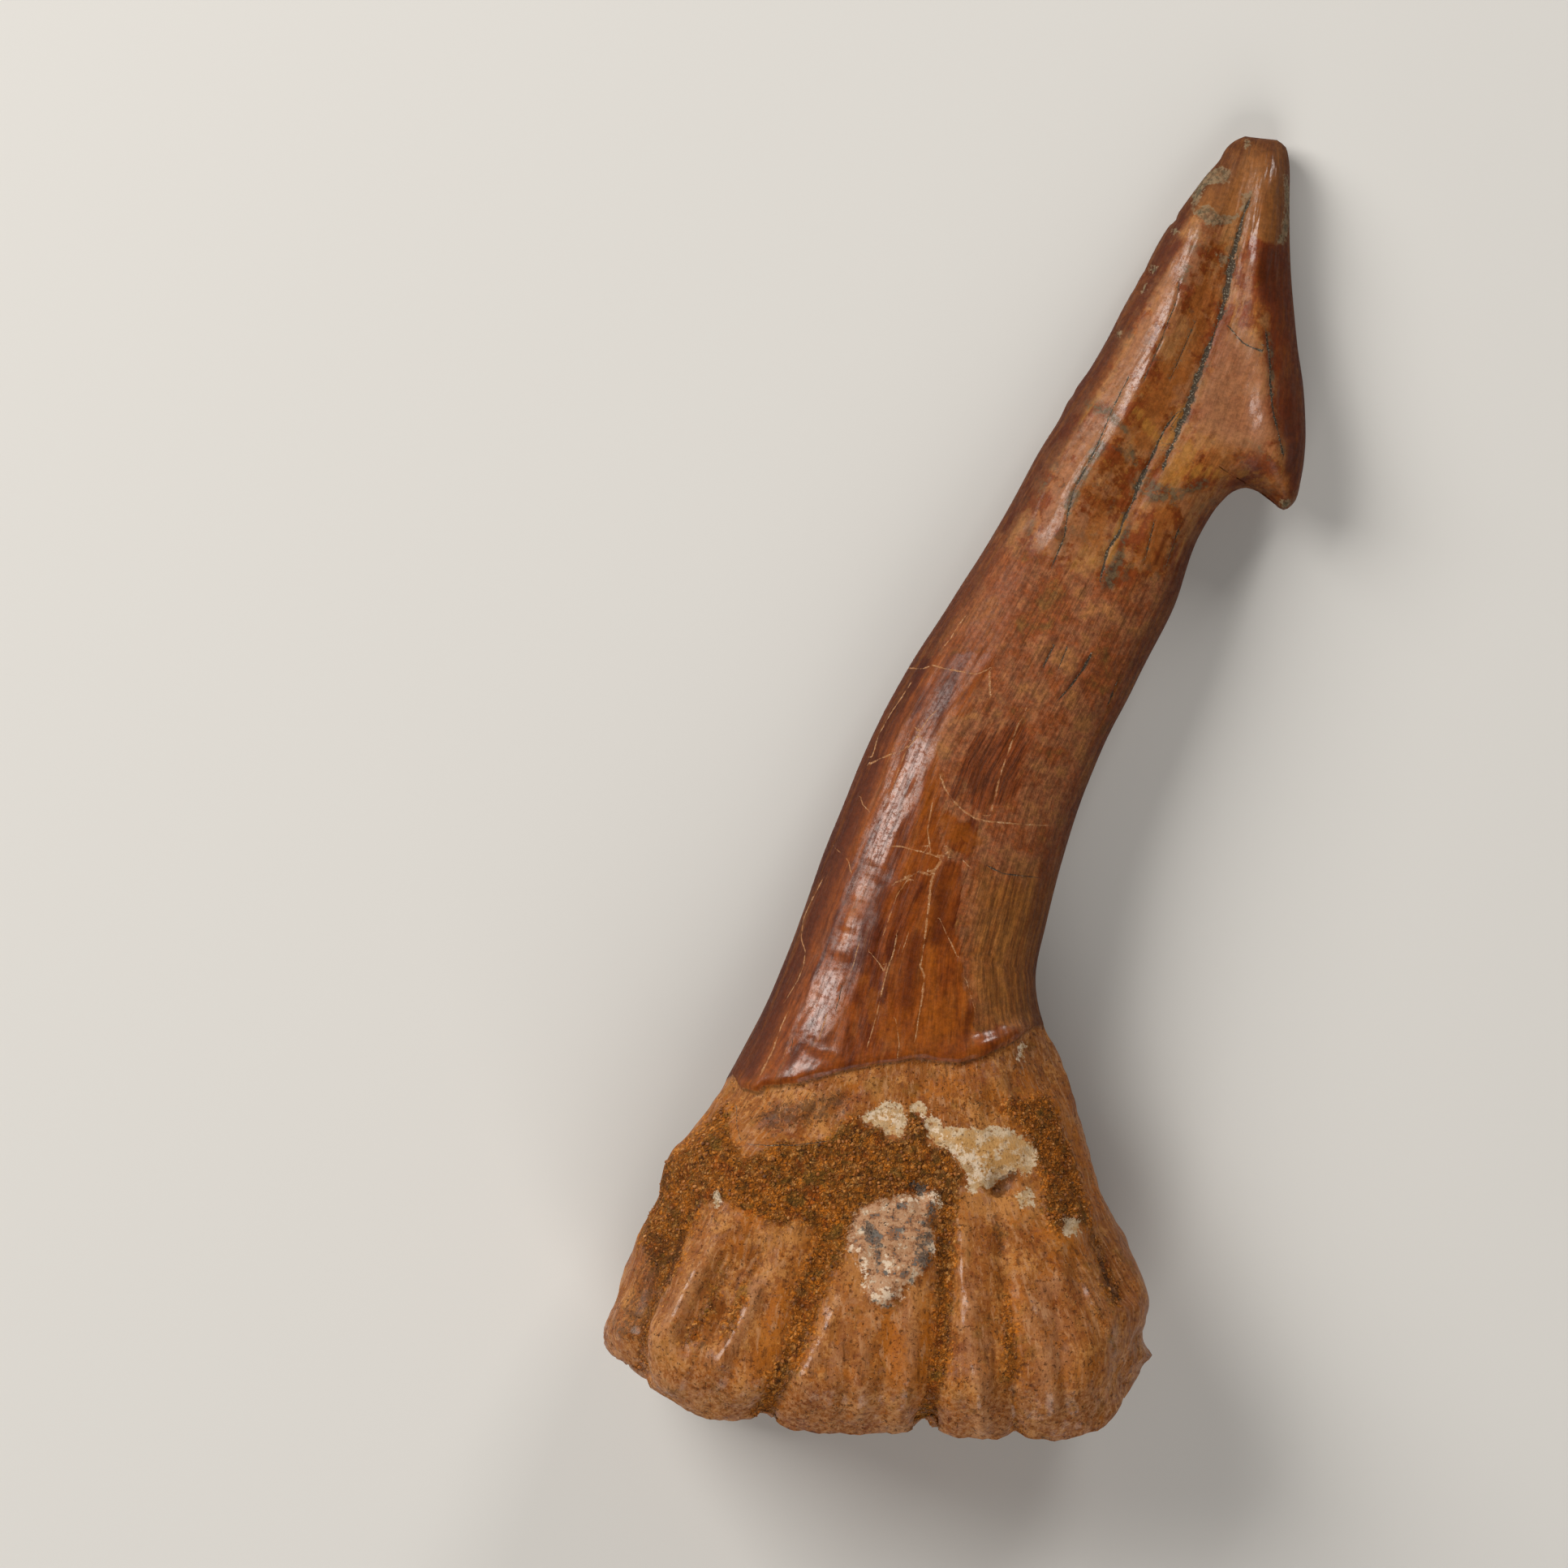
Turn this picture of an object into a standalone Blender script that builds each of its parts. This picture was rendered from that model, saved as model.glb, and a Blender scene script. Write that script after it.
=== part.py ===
import bpy
import numpy as np
from mathutils import Vector, noise

# Fossil rostral tooth of a sawfish, lying on its flatter side. Root, crown and barb grew as one piece.
# X runs across the tooth, Y from the root to the tip, and Z up from the surface that it lies on.
# Sizes are in millimetres. The finished mesh is scaled to metres.

TOOTH_NAME = "rostral_tooth"
METRES_PER_MM = 0.001

# The tooth's outline from above at stations from the root's rim to the tip.
# Each has its left edge (x, y), its right edge (x, y) and the number of mesh rows up to the next station.
OUTLINE = (
    ((-19.6, -31.3), (10.8, -31.9), 3),  # rim of the root
    ((-19.65, -30.6), (10.85, -30.7), 3),
    ((-19.1, -29.0), (11.0, -29.0), 4),  # widest part of the root
    ((-17.8, -25.7), (9.75, -25.7), 4),
    ((-16.5, -22.6), (8.15, -22.6), 2),
    ((-16.2, -21.2), (7.7, -21.2), 3),  # shoulder on the left
    ((-14.0, -18.4), (7.0, -18.7), 2),
    ((-12.6, -16.3), (6.35, -16.4), 2),  # end of the enamel
    ((-11.5, -14.3), (5.75, -14.9), 2),
    ((-10.3, -11.9), (4.95, -13.2), 2),  # neck
    ((-9.35, -9.7), (4.6, -11.4), 3),
    ((-7.8, -5.3), (5.2, -7.7), 3),
    ((-6.0, -0.8), (6.2, -4.0), 3),
    ((-4.0, 3.8), (7.5, -0.1), 2),
    ((-2.8, 6.0), (8.3, 1.9), 3),
    ((0.0, 10.4), (10.3, 5.8), 3),
    ((2.7, 14.7), (12.35, 9.9), 3),
    ((5.1, 19.1), (14.0, 14.3), 2),
    ((6.1, 20.7), (15.1, 15.9), 1),
    ((6.5, 21.5), (15.8, 16.5), 1),
    ((6.8, 21.9), (16.5, 16.7), 1),  # top of the notch under the barb
    ((7.0, 22.3), (17.6, 16.25), 1),
    ((7.7, 23.3), (18.65, 15.3), 1),  # point of the barb
    ((8.0, 23.8), (19.25, 15.8), 1),
    ((8.3, 24.3), (19.6, 17.1), 2),
    ((8.8, 25.2), (19.8, 18.7), 2),
    ((9.6, 26.8), (19.8, 21.7), 2),
    ((10.8, 28.9), (19.4, 24.8), 2),
    ((12.0, 31.1), (19.1, 27.8), 2),
    ((13.25, 32.9), (18.95, 30.7), 2),
    ((14.4, 34.4), (18.9, 33.0), 1),
    ((15.1, 35.2), (18.9, 34.4), 1),
    ((15.5, 35.9), (18.9, 35.4), 1),  # worn, rounded tip
    ((15.95, 36.3), (18.75, 35.95), 1),
    ((16.5, 36.55), (18.3, 36.3), 0),
)

# The body along the tooth. Each line has the height Y on the tooth's middle line, the full thickness, the radius
# that rounds its side edges, and how much the middle stands above the sides, as a part of the thickness.
BODY = (
    (-36.0, 15.4, 4.6, 0.16),
    (-31.0, 15.2, 4.6, 0.16),
    (-26.0, 13.8, 4.6, 0.18),
    (-20.0, 11.6, 4.8, 0.22),
    (-15.0, 9.8, 4.6, 0.25),
    (-8.0, 8.6, 4.4, 0.28),
    (2.0, 7.7, 4.2, 0.28),
    (12.0, 6.9, 3.6, 0.26),
    (18.0, 6.2, 3.0, 0.22),
    (24.0, 5.2, 2.4, 0.18),
    (30.0, 3.8, 1.9, 0.16),
    (34.0, 2.7, 1.5, 0.14),
    (36.5, 1.9, 1.1, 0.12),
)

# The tooth's axis from above, from the root to the tip, and how far the body reaches to each side of it
AXIS = (
    ((-4.5, -42.0), 15.0),
    ((-4.4, -31.0), 15.0),
    ((-4.2, -22.0), 12.2),
    ((-3.3, -15.5), 9.0),
    ((-2.3, -9.0), 7.2),
    ((1.2, 1.0), 6.5),
    ((5.2, 8.2), 6.4),
    ((9.3, 16.2), 6.2),
    ((12.2, 20.8), 6.0),
    ((14.9, 27.0), 4.8),
    ((16.4, 32.4), 3.2),
    ((17.7, 38.0), 1.8),
)

# The root's lower rim: how far it bows out below its corners, and how round the left and right corners are
RIM_BOW = 4.65
RIM_BOW_SKEW = 0.08
RIM_CORNER_POWERS = (4.6, 9.0)
BOW_FADES_OVER = 13.0
LIP_THICKNESS = 0.68
LIP_REACH = 2.6

# The barb spreads out from the last part of the row at the notch's top, and is taken in again above it.
# Its rows arch up over the hollow notch: rise, and where and how widely, as a share of the row.
NOTCH_STATION = 20
BARB_STATIONS = (21, 22, 29)
BARB_ROOT_SHARE = 0.9
BARB_ARCH = 0.32
BARB_ARCH_PLACE = 0.905
BARB_ARCH_WIDTH = 0.1

# The side edges are blunt by this much, and the rounding is worked out from their outline at this many places
EDGE_BLUNTNESS = 0.05
EDGE_PLACES = 260

# How far the side edges are taken to run on below the rim
EDGE_RUN_ON = 8.0

# The trough in the root's end, as rings that go in: depth, part of the lip's height and width, part of the relief
TROUGH_RINGS = ((0.4, 0.66, 0.975, 0.5), (1.7, 0.46, 0.945, 0.2), (2.6, 0.2, 0.915, 0.0))

# The middle layer's height above the surface, which falls from the thick root to the thin crown
MID_HEIGHT_AT_ROOT = 7.5
MID_SLOPE = -0.0905

# The lumps that it rests on are worn flat by this much
WORN_FLAT = 0.12

# Points around the crown. The root has twice as many, from the row at this station on down.
CROWN_COLUMNS = 48
ROOT_ENDS_AT_STATION = 8
COLUMN_EVENNESS = 0.45

# Grooves and ridges on the crown: points (x, y), half-width and height, which is negative for a groove
CROWN_LINES = {
    "valley between the ridges": (
        ((16.2, 31.7), (15.0, 26.4), (13.1, 21.3), (10.7, 17.3), (9.7, 15.3)), 1.1, -0.36,
    ),
    "left ridge": (
        ((14.9, 33.3), (13.3, 29.3), (12.0, 25.7), (10.4, 22.0), (8.3, 18.0), (6.6, 14.6)), 1.0, 0.36,
    ),
    "right ridge": (
        ((17.7, 35.4), (17.0, 32.0), (16.8, 28.5), (17.0, 24.8), (17.5, 21.2), (18.0, 18.4)), 0.7, 0.42,
    ),
    "hollow of the barb": (((15.9, 24.0), (15.8, 20.8)), 1.4, -0.3),
}

# Flutes in each face of the root
ROOT_FLUTES_TOP = (
    (((-6.9, -24.0), (-8.3, -28.3), (-8.9, -31.0), (-10.9, -36.0)), 0.9, -0.7),
    (((-0.5, -23.0), (-0.5, -28.3), (-0.8, -31.4), (-1.7, -36.6)), 0.75, -0.75),
    (((2.9, -25.7), (2.9, -30.3), (3.4, -36.4)), 0.6, -0.4),
    (((-12.3, -25.7), (-12.8, -27.0), (-15.2, -31.0)), 0.6, -0.42),
    (((-10.5, -25.2), (-11.1, -26.5), (-13.2, -30.3)), 0.6, -0.38),
    (((-15.1, -23.8), (-15.8, -25.5), (-17.5, -29.7), (-17.9, -32.9)), 0.8, -0.55),
    (((7.7, -24.3), (8.4, -25.7), (9.5, -28.3)), 0.7, -0.55),
    (((6.6, -26.1), (7.4, -27.8), (8.8, -31.0), (9.9, -33.6)), 0.6, -0.38),
)

# Ribs that stand between the upper face's flutes
ROOT_RIBS_TOP = (
    (((-13.5, -25.4), (-14.8, -28.0), (-16.2, -30.8)), 0.55, 0.22),
    (((-10.4, -26.6), (-11.7, -29.4), (-13.2, -32.2)), 0.55, 0.22),
    (((-6.3, -28.2), (-7.4, -30.6), (-8.8, -33.2)), 0.55, 0.18),
    (((0.9, -27.6), (1.0, -31.0), (1.5, -35.6)), 0.5, 0.24),
    (((4.2, -28.6), (4.9, -31.4), (5.4, -34.6)), 0.55, 0.16),
    (((7.1, -26.8), (8.1, -29.2), (9.0, -31.4)), 0.6, 0.26),
)
ROOT_FLUTES_UNDER = (
    (((-12.6, -23.5), (-13.9, -28.0), (-15.6, -33.5)), 0.8, -0.8),
    (((-8.0, -24.4), (-8.8, -29.5), (-9.6, -35.8)), 0.7, -0.7),
    (((-3.6, -23.0), (-3.9, -29.0), (-4.3, -36.6)), 0.8, -0.95),
    (((0.8, -25.0), (1.2, -30.0), (1.6, -36.6)), 0.6, -0.5),
    (((4.6, -23.8), (5.6, -29.0), (6.6, -36.2)), 0.75, -0.8),
)

# The enamel ends in a low step that crosses the tooth: points (x, y) from left to right, and the step's height
ENAMEL_EDGE_TOP = ((-12.4, -16.8), (-7.1, -16.3), (-2.0, -15.3), (1.8, -15.1), (4.4, -13.5))
ENAMEL_EDGE_UNDER = ((-12.4, -16.8), (-7.1, -15.4), (-2.0, -14.4), (1.8, -14.3), (4.4, -13.5))
ENAMEL_STEP = 0.34
ENAMEL_STEP_WIDTH = 0.5

# Lumps and pits on the upper face: centre (x, y), radius and height
TOP_SPOTS = (
    ((-8.0, -21.3), 4.2, -0.35),
    ((0.8, -20.6), 1.6, 0.28),
    ((-3.4, -25.4), 1.9, 0.3),
    ((2.7, -22.2), 0.7, -0.55),
    ((-2.0, -22.2), 0.7, -0.4),
    ((1.6, -16.6), 1.6, 0.22),
)

# Lumps on the lower face of the root, which it rests on together with the crown
UNDER_SPOTS = (
    ((-11.2, -29.6), 1.7, 0.62),
    ((3.6, -30.2), 1.7, 0.62),
)

ROUGHNESS_OF_ROOT = 0.22
ROUGHNESS_OF_CROWN = 0.07
LUMP_SIZE = 4.0

TOOTH_COLOUR = (0.165, 0.062, 0.022, 1.0)
TOOTH_ROUGHNESS = 0.42


def remove_all_objects():
    for thing in list(bpy.data.objects):
        bpy.data.objects.remove(thing, do_unlink=True)


# A smooth curve through values that are given at rising knots
def smooth_curve(knots, values, at):
    knots = np.asarray(knots, float)
    values = np.asarray(values, float)
    tangents = np.gradient(values, knots, axis=0)
    span = np.clip(np.searchsorted(knots, at, side="right") - 1, 0, len(knots) - 2)
    length = knots[span + 1] - knots[span]
    t = (at - knots[span]) / length
    if values.ndim == 2:
        t = t[:, None]
        length = length[:, None]
    start = (1 + 2 * t) * (1 - t) ** 2 * values[span] + t * (1 - t) ** 2 * length * tangents[span]
    end = t**2 * (3 - 2 * t) * values[span + 1] + t**2 * (t - 1) * length * tangents[span + 1]
    return start + end


def smooth_step(value, low, high):
    t = np.clip((value - low) / (high - low), 0.0, 1.0)
    return t * t * (3.0 - 2.0 * t)


# Distance from points to a path, and where on the path the nearest place is, counted in its points
def nearest_on_path(x, y, path):
    nearest = np.full(x.shape, np.inf)
    place = np.zeros(x.shape)
    for index, ((ax, ay), (bx, by)) in enumerate(zip(path[:-1], path[1:])):
        length_squared = max((bx - ax) ** 2 + (by - ay) ** 2, 1e-12)
        along = np.clip(((x - ax) * (bx - ax) + (y - ay) * (by - ay)) / length_squared, 0.0, 1.0)
        gap = np.hypot(x - ax - along * (bx - ax), y - ay - along * (by - ay))
        place = np.where(gap < nearest, index + along, place)
        nearest = np.minimum(nearest, gap)
    return nearest, place


# Distance of each station from the rim, along the tooth's middle
def station_distances():
    middles = np.array([np.add(left, right) / 2 for left, right, _ in OUTLINE])
    lefts = np.array([left for left, _, _ in OUTLINE])
    rights = np.array([right for _, right, _ in OUTLINE])
    steps = np.hypot(*np.diff(middles, axis=0).T)
    sides = (np.hypot(*np.diff(lefts, axis=0).T) + np.hypot(*np.diff(rights, axis=0).T)) / 2
    return np.concatenate([[0.0], np.cumsum((steps + sides) / 2)])


STATION_AT = station_distances()
ROOT_LENGTH = STATION_AT[ROOT_ENDS_AT_STATION]


def left_edge(at):
    return smooth_curve(STATION_AT, [left for left, _, _ in OUTLINE], at)


def right_edge(at):
    return smooth_curve(STATION_AT, [right for _, right, _ in OUTLINE], at)


# How far across a row a point lies, as a share, with the barb's columns spread from its short root
def share_across(at, across, row_length):
    share = (across + 1) / 2
    _, full, last = STATION_AT[list(BARB_STATIONS)]
    notch_length = np.hypot(*np.subtract(*OUTLINE[NOTCH_STATION][:2]))
    spread = np.where(at > STATION_AT[NOTCH_STATION], 1 - smooth_step(at, full, last), 0)
    kept = 1 + (np.minimum(notch_length / row_length, 1) - 1) * spread
    root_share = kept * BARB_ROOT_SHARE
    beyond = root_share + (share - BARB_ROOT_SHARE) / (1 - BARB_ROOT_SHARE) * (1 - root_share)
    return np.where(share < BARB_ROOT_SHARE, share * kept, beyond)


# Plan position of points at a distance from the rim and at an across value from -1, left, to 1, right
def plan_position(at, across):
    left = left_edge(at)
    right = right_edge(at)
    share = share_across(at, across, np.hypot(*(right - left).T))
    x, y = (left * (1 - share[:, None]) + right * share[:, None]).T
    fade = np.clip(1 - at / BOW_FADES_OVER, 0, 1) ** 1.5
    rim_power = np.where(across < 0, RIM_CORNER_POWERS[0], RIM_CORNER_POWERS[1])
    power = 2 + (rim_power - 2) * fade
    y = y - RIM_BOW * fade * (1 + RIM_BOW_SKEW * across) * (1 - np.abs(across) ** power)
    first, full, last = STATION_AT[list(BARB_STATIONS)]
    arch = smooth_step(at, first, full) * (1 - smooth_step(at, full, last))
    y = y + BARB_ARCH * arch * np.exp(-(((share - BARB_ARCH_PLACE) / BARB_ARCH_WIDTH) ** 2))
    return x, y


# The side edges and the tip as one path, run on past the rim so that the rim itself isn't thinned
def side_path():
    at = np.linspace(0, STATION_AT[-1], EDGE_PLACES)
    left = left_edge(at)
    right = right_edge(at)[::-1]
    below = np.array([0.0, -EDGE_RUN_ON])
    return np.concatenate([[left[0] + below], left, right, [right[-1] + below]])


SIDE_PATH = side_path()


# Half of the thickness at points in plan
def half_height(x, y, at):
    axis_points = [point for point, _ in AXIS]
    off_axis, along = nearest_on_path(x, y, axis_points)
    reach = np.interp(along, np.arange(len(AXIS)), [side for _, side in AXIS])
    axis_y = np.interp(along, np.arange(len(AXIS)), [point[1] for point in axis_points])
    knots = [line[0] for line in BODY]
    axis_y = np.clip(axis_y, knots[0], knots[-1])
    thickness, radius, dome = smooth_curve(knots, [line[1:] for line in BODY], axis_y).T
    inside = np.clip((nearest_on_path(x, y, SIDE_PATH)[0] + EDGE_BLUNTNESS) / radius, 0, 1)
    rounded = np.sqrt(1 - (1 - inside) ** 2)
    lip = 1 - (1 - LIP_THICKNESS) * np.clip(1 - at / LIP_REACH, 0, 1) ** 2
    return thickness / 2 * rounded * (1 - dome * np.clip(off_axis / reach, 0, 1) ** 2) * lip


def line_height(x, y, path, half_width, height):
    distance, place = nearest_on_path(x, y, path)
    return height * np.exp(-((distance / half_width) ** 2)) * smooth_step(place, -0.3, 0.7)


# Height of the relief above the plain body, along its normal
def relief(x, y, z, upper):
    height = np.zeros(len(x))
    for path, half_width, rise in CROWN_LINES.values():
        height += line_height(x, y, path, half_width, rise)
    for path, half_width, rise in ROOT_FLUTES_TOP + ROOT_RIBS_TOP:
        height += line_height(x, y, path, half_width, rise) * upper
    for path, half_width, rise in ROOT_FLUTES_UNDER:
        height += line_height(x, y, path, half_width, rise) * (1 - upper)
    for spots, on_face in ((TOP_SPOTS, upper), (UNDER_SPOTS, 1 - upper)):
        for (spot_x, spot_y), radius, rise in spots:
            height += rise * np.exp(-(((x - spot_x) ** 2 + (y - spot_y) ** 2) / radius**2)) * on_face
    edge_top = np.interp(x, *np.transpose(ENAMEL_EDGE_TOP))
    edge_under = np.interp(x, *np.transpose(ENAMEL_EDGE_UNDER))
    edge_y = edge_top * upper + edge_under * (1 - upper)
    enamel = smooth_step(y - edge_y, -ENAMEL_STEP_WIDTH / 2, ENAMEL_STEP_WIDTH / 2)
    off_side = nearest_on_path(x, y, SIDE_PATH)[0]
    height += ENAMEL_STEP * (enamel - 0.5) * smooth_step(off_side, -0.4, 1.4)
    lumps = np.array([noise.noise(Vector(point) / LUMP_SIZE) for point in zip(x, y, z)])
    height += lumps * (ROUGHNESS_OF_ROOT * (1 - enamel) + ROUGHNESS_OF_CROWN * enamel)
    return height


# Across values and faces (1 above, 0 below, a half at the edges) of the points in one ring
def ring_layout(columns):
    turn = 2 * np.pi * np.arange(columns) / columns
    even = 1 - 2 * np.abs(turn / np.pi - 1)
    across = COLUMN_EVENNESS * even - (1 - COLUMN_EVENNESS) * np.cos(turn)
    upper = (np.sign(np.round(np.sin(turn), 6)) + 1) / 2
    return across, upper


def row_distances():
    rows = []
    for index, (_, _, count) in enumerate(OUTLINE[:-1]):
        start, end = STATION_AT[index], STATION_AT[index + 1]
        rows.extend(start + (end - start) * step / count for step in range(count))
    return np.array(rows + [STATION_AT[-1]])


def body_ring(distance, across, upper):
    at = np.full(len(across), distance)
    x, y = plan_position(at, across)
    z = half_height(x, y, at) * (2 * upper - 1)
    return np.stack([x, y, z], axis=1)


def trough_ring(depth, height_share, width_share, across, upper):
    ring = body_ring(0.0, across, upper)
    inner = body_ring(0.0, across * width_share, upper)
    inner[:, 2] = ring[:, 2] * height_share
    inner[:, 1] += depth * np.sqrt(np.clip(1 - across**4, 0, 1)) + 0.1 * depth
    return inner


# Quads between two rings of the same length, or three triangles to each point where the second has half as many
def join_rings(first, second):
    count = len(first)
    if len(second) == count:
        return [
            (first[i], first[(i + 1) % count], second[(i + 1) % count], second[i]) for i in range(count)
        ]
    faces = []
    for i in range(len(second)):
        low, middle, high = first[2 * i], first[2 * i + 1], first[(2 * i + 2) % count]
        here, there = second[i], second[(i + 1) % len(second)]
        faces += [(low, middle, here), (middle, there, here), (middle, high, there)]
    return faces


# Closes a ring across its thickness, from the upper points to those below them
def close_ring(ring, at_tip):
    count = len(ring)
    faces = []
    for i in range(count // 2):
        corners = [ring[i], ring[i + 1], ring[(count - i - 1) % count], ring[(count - i) % count]]
        corners = list(dict.fromkeys(corners))
        faces.append(tuple(corners if at_tip else corners[::-1]))
    return faces


def tooth_rings():
    root = ring_layout(2 * CROWN_COLUMNS)
    crown = ring_layout(CROWN_COLUMNS)
    rings = []
    for depth, height_share, width_share, relief_share in reversed(TROUGH_RINGS):
        ring = trough_ring(depth, height_share, width_share, *root)
        rings.append((ring, root[1], relief_share))
    for distance in row_distances():
        across, upper = root if distance <= ROOT_LENGTH + 1e-6 else crown
        rings.append((body_ring(distance, across, upper), upper, 1.0))
    return rings


def build_tooth():
    points, upper, relief_share, faces, previous = [], [], [], [], None
    for ring, ring_upper, ring_relief in tooth_rings():
        start = sum(len(part) for part in points)
        indices = list(range(start, start + len(ring)))
        points.append(ring)
        upper.append(ring_upper)
        relief_share.append(np.full(len(ring), ring_relief))
        if previous is None:
            faces += close_ring(indices, at_tip=False)
        else:
            faces += join_rings(previous, indices)
        previous = indices
    faces += close_ring(previous, at_tip=True)
    points = np.concatenate(points)
    upper = np.concatenate(upper)
    relief_share = np.concatenate(relief_share)
    mesh = bpy.data.meshes.new(TOOTH_NAME)
    mesh.from_pydata(points.tolist(), [], faces)
    mesh.update()
    normals = np.array([vertex.normal for vertex in mesh.vertices])
    x, y, z = points.T
    points = points + normals * (relief(x, y, z, upper) * relief_share)[:, None]
    points[:, 2] += MID_HEIGHT_AT_ROOT + MID_SLOPE * (points[:, 1] - OUTLINE[0][0][1])
    points[:, 2] = np.maximum(points[:, 2], WORN_FLAT) - WORN_FLAT
    centre = (points.max(axis=0) + points.min(axis=0)) / 2
    points -= [centre[0], centre[1], 0.0]
    mesh.vertices.foreach_set("co", (points * METRES_PER_MM).ravel())
    mesh.update()
    mesh.shade_smooth()
    mesh.set_sharp_from_angle(angle=np.radians(50))
    return mesh


def tooth_material():
    material = bpy.data.materials.new("fossil_enamel_and_dentine")
    material.use_nodes = True
    shader = material.node_tree.nodes["Principled BSDF"]
    shader.inputs["Base Color"].default_value = TOOTH_COLOUR
    shader.inputs["Roughness"].default_value = TOOTH_ROUGHNESS
    shader.inputs["Metallic"].default_value = 0.0
    return material


remove_all_objects()
tooth = bpy.data.objects.new(TOOTH_NAME, build_tooth())
tooth.data.materials.append(tooth_material())
bpy.context.scene.collection.objects.link(tooth)
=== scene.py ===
import math
import bpy
import bmesh
import numpy as np
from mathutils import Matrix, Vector, noise


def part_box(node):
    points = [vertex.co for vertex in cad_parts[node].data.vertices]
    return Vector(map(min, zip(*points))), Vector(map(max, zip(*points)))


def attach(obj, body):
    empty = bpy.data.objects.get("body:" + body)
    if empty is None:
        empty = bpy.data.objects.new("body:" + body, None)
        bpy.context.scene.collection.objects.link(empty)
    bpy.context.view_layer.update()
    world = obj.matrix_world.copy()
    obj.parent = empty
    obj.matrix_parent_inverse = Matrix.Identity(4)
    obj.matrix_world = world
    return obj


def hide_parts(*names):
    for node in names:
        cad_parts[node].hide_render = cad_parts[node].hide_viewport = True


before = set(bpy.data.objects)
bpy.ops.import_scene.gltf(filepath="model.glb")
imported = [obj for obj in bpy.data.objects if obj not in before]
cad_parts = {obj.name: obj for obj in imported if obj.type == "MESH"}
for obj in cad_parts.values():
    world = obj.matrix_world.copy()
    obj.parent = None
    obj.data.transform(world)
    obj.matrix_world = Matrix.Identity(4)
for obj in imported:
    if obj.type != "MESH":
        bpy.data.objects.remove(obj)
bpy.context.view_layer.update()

# Fossil sawfish rostral tooth, lying on its flatter side.
# X runs across the tooth, Y from the root to the tip, Z up from the floor.
# Lengths are in mm until a mesh is made.

toMetres = 0.001
print("frame loaded")

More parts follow.
